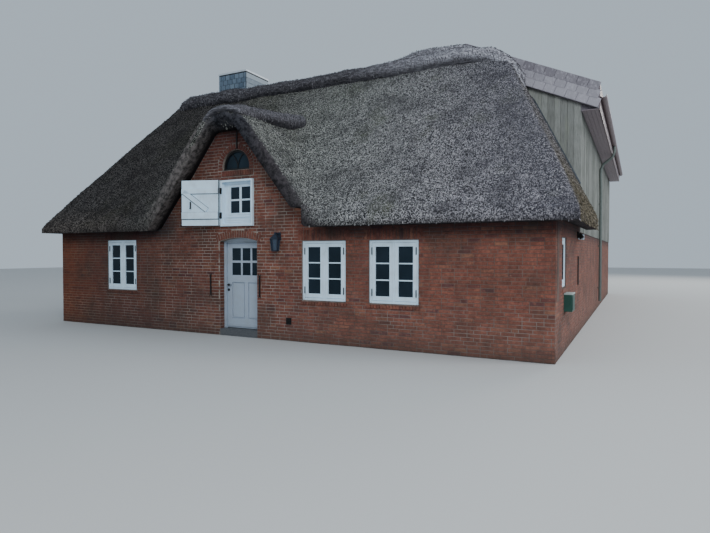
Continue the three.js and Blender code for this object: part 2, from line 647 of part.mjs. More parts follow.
const cottage = new THREE.Group();
cottage.add(
  ...floorPieces(),
  ...frontWallPieces(),
  ...houseWallPieces(),
  ...wingWallPieces(),
  ...wingRoofPieces(),
  gutter('wing_gutter_right', 1, WING.front - WING_ROOF.vergeDepth),
  gutter('wing_gutter_left', -1, HOUSE.back),
  downpipe(),
  ...thatchPieces(),
  ...rollPieces(),
  ...chimneyPieces(),
  ...doorPieces(),
  ...windowPieces(),
  lunetteWindow(),
  hatchWindow(),
  hatchShutter(),
  wallLantern(),
  meterBox(),
);

// The origin lies at the middle of the cottage's box, on the ground
const extent = new THREE.Box3().setFromObject(cottage);
const middle = extent.getCenter(new THREE.Vector3());
cottage.position.set(-middle.x, -middle.y, -extent.min.z);

export default cottage;
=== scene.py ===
"""Finishes of a thatched brick cottage, laid out as an add-on and run as a script.

Sizes are metres. Pieces are drawn in the house's own frame, with X along the front from the door's axis,
Y into the house from the front wall's outer face and Z from the ground, and are then moved to the row frame.
Shader positions are in the row frame.
"""

import math
import random

import bmesh
import bpy
import numpy as np
from mathutils import Euler, Matrix, Vector, noise


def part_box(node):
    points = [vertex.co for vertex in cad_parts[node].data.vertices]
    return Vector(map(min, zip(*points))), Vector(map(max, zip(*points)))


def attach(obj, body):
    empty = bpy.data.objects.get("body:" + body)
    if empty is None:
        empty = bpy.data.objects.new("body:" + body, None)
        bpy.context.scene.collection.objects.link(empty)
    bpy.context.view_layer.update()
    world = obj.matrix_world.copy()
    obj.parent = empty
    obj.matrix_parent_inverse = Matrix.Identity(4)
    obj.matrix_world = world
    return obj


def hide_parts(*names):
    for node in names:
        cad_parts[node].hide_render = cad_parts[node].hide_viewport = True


bl_info = {
    "name": "Thatched Cottage Finishes",
    "version": (1, 0, 0),
    "blender": (4, 5, 0),
    "location": "3D View > Sidebar > Cottage",
    "description": "Builds the thatch, brickwork, boards, joinery and fittings of a thatched cottage",
    "category": "Object",
}

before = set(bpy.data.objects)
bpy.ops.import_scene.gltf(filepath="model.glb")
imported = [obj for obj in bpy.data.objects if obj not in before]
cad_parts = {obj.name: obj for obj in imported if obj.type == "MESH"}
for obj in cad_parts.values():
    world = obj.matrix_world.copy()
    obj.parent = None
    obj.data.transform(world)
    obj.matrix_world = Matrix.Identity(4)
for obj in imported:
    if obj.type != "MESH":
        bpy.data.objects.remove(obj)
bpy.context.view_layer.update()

RIGHT_END = 6.65985  # right end of the front wall in the house's frame
FACE_GAP = 0.00015  # the front wall's face stands this far behind Y = 0
ORIGIN = Vector((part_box("front_wall_right")[1].x - RIGHT_END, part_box("front_wall_left")[0].y - FACE_GAP, 0.0))


def spot(node):
    """Lowest and highest corner of a CAD node in the house's frame."""
    low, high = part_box(node)
    return low - ORIGIN, high - ORIGIN


# Walls and floors, read from the frame
HOUSE_LEFT = spot("front_wall_left")[0].x
HOUSE_RIGHT = spot("front_wall_right")[1].x
HOUSE_BACK = spot("rear_wall")[1].y
WING_LEFT = spot("wing_left_wall")[0].x
WING_FRONT = spot("wing_front_boards")[0].y
WING_BACK = spot("wing_rear_wall")[1].y
BRICK_TOP = spot("wing_right_wall")[1].z
SILL_TOP = spot("door_sill")[1].z
WALL_FOOT, HIP_WALL_TOP = 0.004, 2.45

# Each outer wall's elevation is drawn along X: its turn in degrees, then the X and Y of its starting line
FRONT = (0, 0.0, 0.0)
RIGHT_END_WALL, LEFT_END_WALL, REAR = (90, HOUSE_RIGHT, 0.0), (-90, HOUSE_LEFT, 0.0), (180, 0.0, HOUSE_BACK)
WING_LEFT_WALL, WING_REAR = (-90, WING_LEFT, 0.0), (180, 0.0, WING_BACK)
WING_GABLE = (0, 0.0, WING_FRONT + 0.004)
FRONT_WINDOWS = ("front_left_window", "front_middle_window", "front_right_window")

# Thatch: its planes start at the eave line and rise by a share of the distance from it
EAVE_TOP = 2.52
EAVE_UNDER = spot("thatch_front_left")[0].z
RIDGE_Y, RIDGE_Z = HOUSE_BACK / 2, 6.5
EAVE_REACH, LEFT_REACH = 0.47, 0.36
EAVE_FRONT, EAVE_BACK = -EAVE_REACH, HOUSE_BACK + EAVE_REACH
EAVE_LEFT, EAVE_RIGHT = HOUSE_LEFT - LEFT_REACH, HOUSE_RIGHT + EAVE_REACH
RISE_FRONT = (RIDGE_Z - EAVE_TOP) / (RIDGE_Y - EAVE_FRONT)
RISE_LEFT, RISE_RIGHT = math.tan(math.radians(70.5)), math.tan(math.radians(63))
THATCH_THICK = 0.36

# Thatch over the brick gable: its apex, the two faces' outlines at the left and the step at the right
GABLE_X, GABLE_APEX, GABLE_RISE_RIGHT = -0.06, 4.93, 1.274
GABLE_HOOD, GABLE_TOP, GABLE_THICK, GABLE_BROW_DROP = 4.79, 4.88, 0.28, 0.20
GABLE_INNER = ((-3.44, 1.24), (-2.44, 2.40), (-1.33, 3.69), (-0.56, 4.66), (-0.33, GABLE_HOOD), (0.0, 4.95))
GABLE_OUTER = ((-3.82, 1.26), (-2.82, 2.40), (-1.554, 3.858), (-0.784, 4.828), (-0.442, 4.97), (0.0, 5.10))
GABLE_STEP_X, GABLE_STEP_Z = 1.88, 2.79

# Doorway arch, hatch and half-round light
DOOR_X, DOOR_HALF, DOOR_SPRING, DOOR_CROWN = -0.045, 0.525, 2.13, 2.205
DOOR_RING, DOOR_REVEAL = 0.17, 0.186
HATCH_LOW, HATCH_HIGH = spot("hatch_window")
LUNETTE_X, LUNETTE_BASE, LUNETTE_STILT, LUNETTE_RADIUS, LUNETTE_RING = -0.095, 3.715, 0.075, 0.375, 0.125

# Wing roof
WING_X = (WING_LEFT + HOUSE_RIGHT) / 2
WING_RISE, WING_RIDGE = 0.45, 7.135
WING_EAVE, WING_THICK, WING_SOFFIT = 0.40, 0.22, 5.15
WING_PITCH = math.atan(WING_RISE)
WING_HALF = (HOUSE_RIGHT - WING_LEFT) / 2 + WING_EAVE
WING_SLOPE = WING_HALF / math.cos(WING_PITCH)


class CottageSizes(bpy.types.PropertyGroup):
    """Sizes of the small things that repeat."""

    brick_length: bpy.props.FloatProperty(
        name="Brick Length", description="Length of a brick without its joint", default=0.228, unit="LENGTH")
    course: bpy.props.FloatProperty(
        name="Course", description="Height of a brick with its bed joint", default=0.0685, unit="LENGTH")
    joint: bpy.props.FloatProperty(
        name="Joint", description="Width of the mortar joints", default=0.012, unit="LENGTH")
    board_width: bpy.props.FloatProperty(
        name="Board Width", description="Width of an upright board", default=0.145, unit="LENGTH")
    thatch_grid: bpy.props.FloatProperty(
        name="Thatch Grid", description="Spacing of the points that shape the thatch", default=0.06, unit="LENGTH")
    reeds: bpy.props.IntProperty(
        name="Reeds per Square Metre", description="Reed ends that stand out of the thatch", default=430)
    slate_width: bpy.props.FloatProperty(
        name="Slate Width", description="Width of a roof shingle", default=0.28, unit="LENGTH")


class CottageColours(bpy.types.PropertyGroup):
    """Base colours of the finishes."""

    brick: bpy.props.FloatVectorProperty(
        name="Brick", description="Middle colour of the bricks", subtype="COLOR", default=(0.235, 0.082, 0.057))
    reed: bpy.props.FloatVectorProperty(
        name="Reed", description="Light reed ends", subtype="COLOR", default=(0.50, 0.50, 0.495))
    paint: bpy.props.FloatVectorProperty(
        name="Paint", description="White paint of the joinery", subtype="COLOR", default=(0.70, 0.87, 1.0))
    boards: bpy.props.FloatVectorProperty(
        name="Boards", description="Weathered upright boards", subtype="COLOR", default=(0.285, 0.29, 0.27))
    glass: bpy.props.FloatVectorProperty(
        name="Glass", description="Window glass with the dark room behind it", subtype="COLOR",
        default=(0.008, 0.014, 0.020))


# Node helpers


def feed(tree, socket, value):
    """Links an output to a socket, or sets the socket's own value."""
    if hasattr(value, "is_output"):
        tree.links.new(value, socket)
    else:
        socket.default_value = value


def add_node(tree, kind, inputs=None, **settings):
    """Adds a node, sets its fields, then feeds its inputs, given by name or number."""
    node = tree.nodes.new(kind)
    for key, value in settings.items():
        setattr(node, key, value)
    for key, value in (inputs or {}).items():
        feed(tree, node.inputs[key], value)
    return node


def shade(colour, *factors):
    """A colour times one factor, or times a factor for each channel."""
    return tuple(channel * factor for channel, factor in zip(colour, factors * 3))


def solid(colour):
    """A plain colour with its alpha, or a socket as it is."""
    return (*colour, 1) if isinstance(colour, tuple) else colour


class Shading:
    """Shader nodes of one tree, which lay colours over each other."""

    def __init__(self, tree, colour=None):
        self.tree = tree
        self.place = self.add("ShaderNodeTexCoord").outputs["Object"]
        self.colour = colour

    def add(self, kind, inputs=None, **settings):
        return add_node(self.tree, kind, inputs, **settings)

    def texture(self, kind, scale, stretch, **inputs):
        mapping = self.add("ShaderNodeMapping", {"Vector": self.place, "Scale": stretch})
        return self.add(kind, {"Vector": mapping.outputs["Vector"], "Scale": scale, **inputs})

    def noise(self, scale, detail=4.0, rough=0.55, stretch=(1, 1, 1)):
        return self.texture("ShaderNodeTexNoise", scale, stretch, Detail=detail, Roughness=rough).outputs["Fac"]

    def cells(self, scale):
        """A chance value for each small cell of space."""
        return self.texture("ShaderNodeTexVoronoi", scale, (1, 1, 1)).outputs["Color"]

    def ramp(self, value, stops):
        node = self.add("ShaderNodeValToRGB", {"Fac": value})
        elements = node.color_ramp.elements
        while len(elements) < len(stops):
            elements.new(0.5)
        for element, (position, colour) in zip(elements, stops):
            element.position = position
            element.color = solid(colour)
        return node.outputs["Color"]

    def range(self, value, low, high, to_low=0.0, to_high=1.0):
        limits = {"From Min": low, "From Max": high, "To Min": to_low, "To Max": to_high}
        return self.add("ShaderNodeMapRange", {"Value": value, **limits}).outputs["Result"]

    def patches(self, low, high, share, *grain):
        """A noise's values from low to high, brought to 0 and a share."""
        return self.range(self.noise(*grain), low, high, 0.0, share)

    def axis(self, letter):
        return self.add("ShaderNodeSeparateXYZ", {0: self.place}).outputs[letter]

    def across(self, *span):
        return self.range(self.axis("X"), *span)

    def height(self, *span):
        return self.range(self.axis("Z"), *span)

    def attribute(self, name):
        return self.add("ShaderNodeAttribute", attribute_name=name).outputs["Fac"]

    def sum(self, first, second, operation="ADD"):
        return self.add("ShaderNodeMath", {0: first, 1: second}, operation=operation).outputs[0]

    def times(self, first, second):
        return self.sum(first, second, "MULTIPLY")

    def mix(self, factor, first, second, blend="MIX"):
        inputs = {"Factor": factor, "A": solid(first), "B": solid(second)}
        return self.add("ShaderNodeMix", inputs, data_type="RGBA", blend_type=blend).outputs["Result"]

    def layer(self, factor, colour):
        """Lays a colour over what is there."""
        self.colour = self.mix(factor, self.colour, colour)

    def tone(self, factor, colour):
        """Multiplies what is there by a colour."""
        self.colour = self.mix(factor, self.colour, colour, "MULTIPLY")

    def treat(self, effect, **values):
        """Puts the colour through a shared effect, with the effect's own values."""
        inputs = {"Colour": self.colour, **{key.replace("_", " "): value for key, value in values.items()}}
        tree = bpy.data.node_groups.get(effect) or effect_group(effect)
        self.colour = self.add("ShaderNodeGroup", inputs, node_tree=tree).outputs["Colour"]


class Finish(Shading):
    """A material under construction, which ends in one Principled shader."""

    def __init__(self, name, colour=None):
        self.material = bpy.data.materials.new(name)
        self.material.use_nodes = True
        super().__init__(self.material.node_tree, colour)
        self.shader = self.tree.nodes["Principled BSDF"]

    def bump(self, value, distance, strength=1.0):
        node = self.add("ShaderNodeBump", {"Height": value, "Distance": distance, "Strength": strength})
        feed(self.tree, self.shader.inputs["Normal"], node.outputs["Normal"])

    def done(self, roughness, metallic=0.0, specular=0.4):
        values = {"Base Color": solid(self.colour), "Roughness": roughness, "Metallic": metallic,
                  "Specular IOR Level": specular}
        for name, value in values.items():
            feed(self.tree, self.shader.inputs[name], value)
        return self.material


# Effects that several finishes share


def grime(s, given):
    """Dirt that gathers in patches and towards the ground."""
    stain = s.range(s.noise(given["Scale"], 6.0, 0.5), 0.45, 0.7)
    low = s.height(0.0, given["Ground Height"], 1.0, 0.0)
    s.layer(s.times(s.sum(stain, low, "MAXIMUM"), given["Amount"]), given["Dirt"])


def wall_shading(s, given):
    """Painted shadow under the eaves and painted shade high in the gable, and warmer at the far left."""
    beside_gable = s.sum(s.across(-2.6, -2.2, 1.0, 0.0), s.across(1.5, 1.9))
    # Painted shadow on the walls just under the eaves, on both sides of the gable
    s.tone(s.times(s.height(2.1, 2.36), beside_gable), (0.34, 0.38, 0.50))
    s.tone(s.across(-6.3, -4.6, 1.0, 0.0), (1.38, 1.02, 0.78))
    # Painted shade high in the gable under the thatch's hood; Gable is the colour of that shade
    s.tone(s.height(3.55, 4.55), given["Gable"])


def weathering_and_shade(s, given):
    """Pale streaks low on the slope, a drift from warm to cool along it, and a left part darkened as painted shade.
    """
    low = s.times(s.height(2.5, 3.7, 1.0, 0.0), s.across(1.2, 3.0))
    s.tone(s.times(low, s.patches(0.52, 0.64, 0.6, 2.6, 6, 0.75, (0.45, 1, 1.7))), (1.6, 1.6, 1.62))
    s.tone(1.0, s.mix(s.across(0.5, 5.0), (0.95, 0.955, 0.88), (1.02, 0.965, 1.03)))
    # Painted shade over the left part of the thatch
    s.tone(s.across(-3.8, -1.9, 1.0, 0.0), (0.50, 0.475, 0.50))
    s.tone(s.across(-1.9, 0.8, 1.0, 0.0), (0.64, 0.61, 0.60))
    s.tone(s.times(s.across(-4.6, -3.4, 1.0, 0.0), s.height(2.5, 3.1, 1.0, 0.0)), (1.6, 1.5, 1.4))


def right_hip(s, given):
    """Another colour round on the right hip's face, strongest low down."""
    inputs = {0: s.place, 1: (RISE_RIGHT, RISE_FRONT, 0.0)}
    reach = s.add("ShaderNodeVectorMath", inputs, operation="DOT_PRODUCT").outputs["Value"]
    start = RISE_FRONT * (ORIGIN.y + EAVE_FRONT) + RISE_RIGHT * (ORIGIN.x + EAVE_RIGHT)
    s.layer(s.times(s.range(reach, start, start + 0.14, 0.0, 0.85), s.height(2.9, 4.3, 1.0, 0.22)), given["Hip"])


GREY = (0.5, 0.5, 0.5, 1)
EFFECTS = {
    "Grime": (grime, {"Dirt": (0.05, 0.045, 0.04, 1), "Amount": 0.3, "Scale": 3.0, "Ground Height": 0.4}),
    "Wall Shading": (wall_shading, {"Gable": GREY}),
    "Weathering And Shade": (weathering_and_shade, {}),
    "Right Hip": (right_hip, {"Hip": GREY}),
}


def effect_group(name):
    """Builds one of the effects as a shader node group from colour to colour."""
    work, values = EFFECTS[name]
    tree = bpy.data.node_groups.new(name, "ShaderNodeTree")
    for label, value in {"Colour": GREY, **values}.items():
        kind = "NodeSocketColor" if isinstance(value, tuple) else "NodeSocketFloat"
        tree.interface.new_socket(label, in_out="INPUT", socket_type=kind).default_value = value
    tree.interface.new_socket("Colour", in_out="OUTPUT", socket_type="NodeSocketColor")
    start, end = tree.nodes.new("NodeGroupInput"), tree.nodes.new("NodeGroupOutput")
    shading = Shading(tree, start.outputs["Colour"])
    work(shading, start.outputs)
    feed(tree, end.inputs["Colour"], shading.colour)
    return tree


# Finishes


def brick_finish(base):
    f = Finish("brick_faces")
    f.colour = f.ramp(f.attribute("tint"), (
        (0.0, shade(base, 0.52, 0.58, 0.85)), (0.2, shade(base, 0.85)), (0.5, base), (0.8, shade(base, 1.15)),
        (1.0, shade(base, 1.35, 1.7, 1.5))))
    mottle, blotch = f.noise(38, 6), f.noise(13, 5, 0.65)
    f.layer(f.range(mottle, 0.4, 0.7, 0.0, 0.6), shade(base, 0.36))
    f.layer(f.range(blotch, 0.50, 0.66, 0.0, 0.6), shade(base, 0.42))
    f.layer(f.range(blotch, 0.34, 0.46, 0.5, 0.0), shade(base, 1.5, 1.6, 1.4))
    bloom = f.patches(0.58, 0.72, 0.22, 1.3, 8, 0.7)
    f.layer(f.sum(bloom, f.height(0.15, 1.1, 0.12, 0.0), "MAXIMUM"), (0.24, 0.20, 0.17))
    # Darker towards the left: painted shade over the left part of the wall
    f.layer(f.across(-4.0, 1.5, 0.62, 0.0), (0.04, 0.018, 0.014))
    f.layer(f.patches(0.58, 0.75, 0.4, 130, 3), (0.34, 0.22, 0.18))
    f.layer(f.patches(0.66, 0.72, 0.6, 8, 6, 0.8), (0.36, 0.31, 0.27))
    f.layer(f.patches(0.5, 0.7, 0.35, 0.8, 5, 0.65), (0.13, 0.045, 0.045))
    f.layer(f.across(6.27, 6.29, 0.0, 0.16), (0.38, 0.27, 0.22))
    # Painted shadow under the eaves and painted shade high in the gable
    f.treat("Wall Shading", Gable=(0.42, 0.36, 0.42, 1))
    f.treat("Grime", Dirt=(0.035, 0.035, 0.03, 1), Amount=0.55, Scale=1.8, Ground_Height=0.35)
    f.bump(f.sum(mottle, f.noise(160, 3)), 0.004, 0.9)
    return f.done(f.range(mottle, 0.3, 0.7, 0.95, 0.78), specular=0.25)


def mortar_finish():
    f = Finish("mortar", (0.30, 0.25, 0.21))
    grain = f.noise(90, 5)
    f.layer(f.patches(0.42, 0.62, 1.0, 1.7, 7, 0.65), (0.13, 0.085, 0.075))
    f.layer(f.across(1.0, 1.9, 0.0, 0.75), (0.13, 0.075, 0.062))
    f.layer(f.across(-3.6, -2.0, 0.6, 0.0), (0.075, 0.05, 0.045))
    middle = f.times(f.across(-1.9, -1.3), f.across(0.7, 1.3, 1.0, 0.0))
    f.layer(f.times(f.times(middle, f.patches(0.40, 0.55, 1.0, 2.6, 5, 0.6)), 0.65), (0.42, 0.36, 0.31))
    f.layer(f.times(f.height(0.7, 1.1, 0.55, 0.0), f.patches(0.42, 0.55, 1.0, 3.1, 5, 0.6)), (0.31, 0.26, 0.23))
    f.layer(f.range(grain, 0.5, 0.75, 0.0, 0.4), (0.33, 0.29, 0.25))
    # Painted shadow under the eaves and painted shade high in the gable
    f.treat("Wall Shading", Gable=(0.30, 0.27, 0.30, 1))
    f.treat("Grime", Dirt=(0.04, 0.04, 0.035, 1), Amount=0.5, Scale=1.5, Ground_Height=0.4)
    f.bump(grain, 0.004)
    return f.done(0.95, specular=0.15)


def thatch_finish(reed):
    """Flecked reed on the slopes, cut straw at the gable's edge, and a soffit painted dark as shade."""
    f = Finish("thatch_coat")
    flecks, clumps = f.cells(64), f.noise(11, 6, 0.7)
    f.colour = f.ramp(f.sum(f.times(flecks, 0.88), f.times(clumps, 0.12)), (
        (0.34, (0.016, 0.016, 0.018)), (0.45, (0.062, 0.063, 0.068)), (0.55, (0.18, 0.183, 0.195)), (0.65, reed)))
    f.layer(f.patches(0.3, 0.7, 0.20, 0.55, 5, 0.6), (0.14, 0.143, 0.140))
    f.layer(f.patches(0.54, 0.68, 0.5, 0.8, 6, 0.65, (1, 1, 0.6)), (0.085, 0.10, 0.052))
    f.layer(f.patches(0.47, 0.62, 0.5, 1.6, 5, 0.7), (0.045, 0.044, 0.050))
    beside_hip = f.sum(f.axis("X"), f.times(f.axis("Z"), 0.49))
    f.layer(f.range(beside_hip, 6.0, 7.7, 0.0, 0.42), (0.060, 0.062, 0.076))
    f.treat("Weathering And Shade")
    f.treat("Right Hip", Hip=f.mix(f.range(flecks, 0.4, 0.6), (0.034, 0.030, 0.022), (0.15, 0.125, 0.085)))
    # Cut straw at the gable's edge: lighter and browner on the left, its lightness partly painted light on the cut
    # face, and near black round the middle as painted shade under the hood; deep and lit are its darker and lighter
    # tones, mixed by the clumps
    left, right = f.across(-1.25, -0.75, 1.0, 0.0), f.across(0.0, 0.6)
    deep = f.mix(right, f.mix(left, (0.018, 0.018, 0.022), (0.055, 0.050, 0.048)), (0.026, 0.024, 0.026))
    lit = f.mix(right, f.mix(left, (0.075, 0.073, 0.084), (0.20, 0.175, 0.165)), (0.086, 0.074, 0.080))
    f.layer(f.attribute("cut"), f.mix(f.range(clumps, 0.4, 0.6), deep, lit))
    # Near black on the soffit: painted shade under the eaves and the hood
    f.layer(f.attribute("under"), (0.011, 0.009, 0.010))
    f.bump(f.sum(flecks, f.times(clumps, 1.4)), 0.026)
    return f.done(0.97, specular=0.1)


def reed_finish(reed):
    f = Finish("reed_ends")
    tint = f.attribute("tint")
    f.colour = f.ramp(tint, ((0.0, (0.028, 0.027, 0.028)), (0.45, (0.11, 0.11, 0.115)), (0.75, shade(reed, 0.75)),
                             (1.0, shade(reed, 1.15))))
    f.layer(f.patches(0.45, 0.65, 0.3, 0.55, 5, 0.6), (0.17, 0.175, 0.15))
    f.layer(f.patches(0.47, 0.62, 0.45, 1.6, 5, 0.7), (0.045, 0.044, 0.050))
    f.treat("Weathering And Shade")
    f.treat("Right Hip", Hip=f.mix(tint, (0.045, 0.038, 0.026), (0.22, 0.18, 0.11)))
    return f.done(0.9, specular=0.15)


def heather_finish():
    """Dark twigs, paler towards the right as a painted backlit highlight, paler on the gable's roll, and painted
    shade under the roll.
    """
    f = Finish("heather")
    twigs = f.noise(30, 7, 0.75, (0.25, 1, 1))
    f.colour = f.ramp(twigs, (
        (0.36, (0.018, 0.016, 0.019)), (0.49, (0.082, 0.078, 0.088)), (0.62, (0.25, 0.24, 0.26))))
    f.layer(f.patches(0.4, 0.65, 0.25, 1.1, 4), (0.11, 0.105, 0.115))
    pale = f.ramp(twigs, ((0.36, (0.17, 0.165, 0.185)), (0.49, (0.45, 0.44, 0.485)), (0.62, (0.72, 0.71, 0.77))))
    # Paler towards the right: painted highlight of the light from behind; paler too below 5.3 m, on the gable's roll
    f.layer(f.sum(f.across(0.6, 3.6), f.height(5.3, 5.5, 0.15, 0.0), "MAXIMUM"), pale)
    # Painted shade on the undersides of the rolls, by the low attribute
    f.layer(f.times(f.attribute("low"), 0.72), (0.022, 0.021, 0.025))
    f.bump(twigs, 0.06)
    return f.done(0.95, specular=0.1)


def twig_finish():
    f = Finish("heather_twigs")
    f.colour = f.ramp(f.attribute("tint"), (
        (0.0, (0.025, 0.022, 0.026)), (0.6, (0.11, 0.10, 0.11)), (1.0, (0.30, 0.29, 0.31))))
    return f.done(0.9, specular=0.15)


def board_finish(base):
    f = Finish("grey_boards", shade(base, 0.72))
    grain = f.noise(14, 7, 0.65, (6, 6, 0.35))
    f.layer(f.attribute("tint"), shade(base, 1.35))
    f.layer(f.range(grain, 0.42, 0.66, 0.0, 0.65), shade(base, 0.42))
    f.layer(f.patches(0.55, 0.75, 0.35, 2.5, 4, 0.5, (3, 3, 0.4)), (0.30, 0.32, 0.24))
    f.layer(f.across(6.27, 6.29, 0.0, 0.25), (0.10, 0.11, 0.10))
    f.treat("Grime", Dirt=(0.05, 0.06, 0.04, 1), Amount=0.3, Scale=1.4, Ground_Height=0.1)
    f.bump(grain, 0.003)
    return f.done(0.88, specular=0.2)


def paint_finish(name, base):
    f = Finish(name, base)
    brush = f.noise(25, 5, 0.6, (1, 1, 0.12))
    f.layer(f.range(brush, 0.4, 0.7, 0.0, 0.25), shade(base, 0.86))
    f.treat("Grime", Dirt=(0.32, 0.31, 0.28, 1), Amount=0.25, Scale=4.0, Ground_Height=0.3)
    f.bump(brush, 0.0012)
    return f.done(f.range(brush, 0.3, 0.7, 0.38, 0.52))


def slate_finish(name, low, high):
    """Slates or shingles from one colour to another, with cleft edges and lichen."""
    f = Finish(name, low)
    cleft = f.noise(24, 6, 0.65, (1, 1, 0.5))
    f.layer(f.attribute("tint"), high)
    f.layer(f.range(cleft, 0.5, 0.75, 0.0, 0.5), shade(high, 1.5))
    f.layer(f.patches(0.62, 0.72, 0.5, 5.5, 7, 0.7), (0.27, 0.27, 0.24))
    f.bump(cleft, 0.003)
    return f.done(f.range(cleft, 0.3, 0.7, 0.5, 0.75), specular=0.35)


def simple_finish(name, first, second, grain, span, relief, depth, rough, metallic=0.0, specular=0.4, strength=1.0):
    """Two colours mixed by a grain, which also changes the roughness, over the relief of another grain."""
    f = Finish(name, first)
    value = f.noise(*grain)
    f.layer(f.range(value, *span), second)
    f.bump(f.noise(*relief), depth, strength)
    return f.done(f.range(value, 0.3, 0.7, *rough), metallic, specular)


def glass_finish(name, base, specular):
    return simple_finish(name, base, shade(base, 2.2), (0.9, 3), (0.35, 0.7), (1.6, 2), 0.004, (0.08, 0.08),
                         specular=specular, strength=0.35)


def sheet_metal_finish(name, base, rough):
    return simple_finish(name, base, shade(base, 0.6), (18, 5), (0.5, 0.7, 0.0, 0.6), (6, 3), 0.002,
                         (rough, rough + 0.2), metallic=0.35)


def plastic_finish(name, base):
    return simple_finish(name, base, shade(base, 2.0), (9, 5), (0.5, 0.75, 0.0, 0.35), (220, 2), 0.0006,
                         (0.45, 0.45))


def grained_finish(name, first, second, grain, span, depth, rough, metallic=0.0):
    return simple_finish(name, first, second, grain, span, grain, depth, rough, metallic)


def make_finishes(colours):
    """Every material of the cottage by name."""
    brick, reed, paint, boards, glass = (
        tuple(getattr(colours, key)) for key in ("brick", "reed", "paint", "boards", "glass"))
    return {
        "brick": brick_finish(brick),
        "mortar": mortar_finish(),
        "thatch": thatch_finish(reed),
        "reed": reed_finish(reed),
        "heather": heather_finish(),
        "twigs": twig_finish(),
        "boards": board_finish(boards),
        "paint": paint_finish("white_paint", paint),
        # The white paint darkened: painted shade on the door and its frame, deep in the doorway
        "shaded_door_paint": paint_finish("shaded_paint", shade((0.72, 0.84, 1.0), 0.54)),
        "glass": glass_finish("window_glass", glass, 0.12),
        "dim_glass": glass_finish("dim_glass", glass, 0.0),
        "lantern_glass": glass_finish("lantern_glass", (0.020, 0.036, 0.060), 0.5),
        "slate": slate_finish("chimney_slate", (0.085, 0.125, 0.175), (0.17, 0.225, 0.285)),
        "shingle": slate_finish("roof_shingle", (0.13, 0.115, 0.135), (0.42, 0.40, 0.44)),
        # The sides' sheets are paler than the front's slates: partly their own colour, partly painted light from the
        # right
        "siding": slate_finish("chimney_siding", (0.20, 0.245, 0.29), (0.33, 0.385, 0.43)),
        "lead": sheet_metal_finish("pale_sheet_metal", (0.66, 0.71, 0.76), 0.42),
        "gutter": sheet_metal_finish("brown_gutter", (0.17, 0.125, 0.132), 0.4),
        "pipe": sheet_metal_finish("grey_green_pipe", (0.125, 0.148, 0.137), 0.45),
        "lantern": sheet_metal_finish("blue_black_iron", (0.022, 0.034, 0.055), 0.4),
        "flashing": sheet_metal_finish("dark_flashing", (0.075, 0.085, 0.10), 0.5),
        "iron": grained_finish("black_iron", (0.012, 0.012, 0.013), (0.05, 0.035, 0.03), (70, 4), (0.6, 0.75),
                               0.001, (0.4, 0.6), metallic=0.3),
        "floor": grained_finish("floor_boards", (0.30, 0.20, 0.12), (0.15, 0.095, 0.055),
                                (9, 6, 0.6, (0.4, 6, 6)), (0.35, 0.7), 0.002, (0.7, 0.7)),
        "eave": grained_finish("brown_eave_boards", (0.29, 0.24, 0.265), (0.18, 0.146, 0.16),
                               (16, 6, 0.6, (5, 0.4, 5)), (0.35, 0.7), 0.002, (0.62, 0.62)),
        # Dark grey stone, darkened further as painted shade on the step
        "stone": grained_finish("sill_stone", (0.062, 0.066, 0.072), (0.135, 0.14, 0.15), (55, 6), (0.35, 0.7),
                                0.003, (0.85, 0.85)),
        "meter": plastic_finish("dark_green_plastic", (0.012, 0.06, 0.045)),
        "meter_lid": plastic_finish("pale_plastic", (0.35, 0.42, 0.40)),
    }


FINISHES = {}


# Mesh helpers


def turned(turn, x=0.0, y=0.0):
    """Turns a wall's elevation, drawn along X, and moves it to where the wall stands."""
    return Matrix.Translation((x, y, 0)) @ Matrix.Rotation(math.radians(turn), 4, "Z")


def opening(node, turn=0):
    """A node on its wall's elevation: lowest and highest u, then lowest and highest z."""
    low, high = spot(node)
    along = {0: (low.x, high.x), 90: (low.y, high.y), -90: (-high.y, -low.y), 180: (-high.x, -low.x)}[turn]
    return (*along, low.z, high.z)


def divided(start, end, size):
    """Centres of equal parts of a stretch, each about as long as a size, and their length."""
    count = round((end - start) / size)
    step = (end - start) / count
    return [start + (i + 0.5) * step for i in range(count)], step


def grown(box, side, foot=None, head=None):
    """A rectangle (x0, x1, z0, z1) grown at its sides, foot and head, or by one measure all round."""
    x0, x1, z0, z1 = box
    return x0 - side, x1 + side, z0 - (side if foot is None else foot), z1 + (side if head is None else head)


def chance_tint(chance, spread):
    return min(1.0, max(0.0, chance.gauss(0.5, spread)))


def keep_piece(mesh, name, material, slot=None, body="house", replaces=(), smooth=False):
    """Moves a mesh from the house's frame to the row frame and makes it a piece that rides on a body."""
    mesh.transform(Matrix.Translation(ORIGIN))
    mesh.name = name
    if not mesh.materials:
        mesh.materials.append(FINISHES[material])
    if smooth:
        mesh.shade_smooth()
    piece = bpy.data.objects.new(name, mesh)
    bpy.context.scene.collection.objects.link(piece)
    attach(piece, body)
    if replaces:
        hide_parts(*replaces)


def mesh_from(vertices, faces):
    mesh = bpy.data.meshes.new("draft")
    mesh.from_pydata([tuple(v) for v in vertices], [], faces)
    return mesh


def rework(mesh, change):
    """Makes a change to a mesh through bmesh."""
    bm = bmesh.new()
    bm.from_mesh(mesh)
    change(bm)
    bm.to_mesh(mesh)
    bm.free()
    return mesh


def face_outwards(bm):
    bmesh.ops.recalc_face_normals(bm, faces=bm.faces)


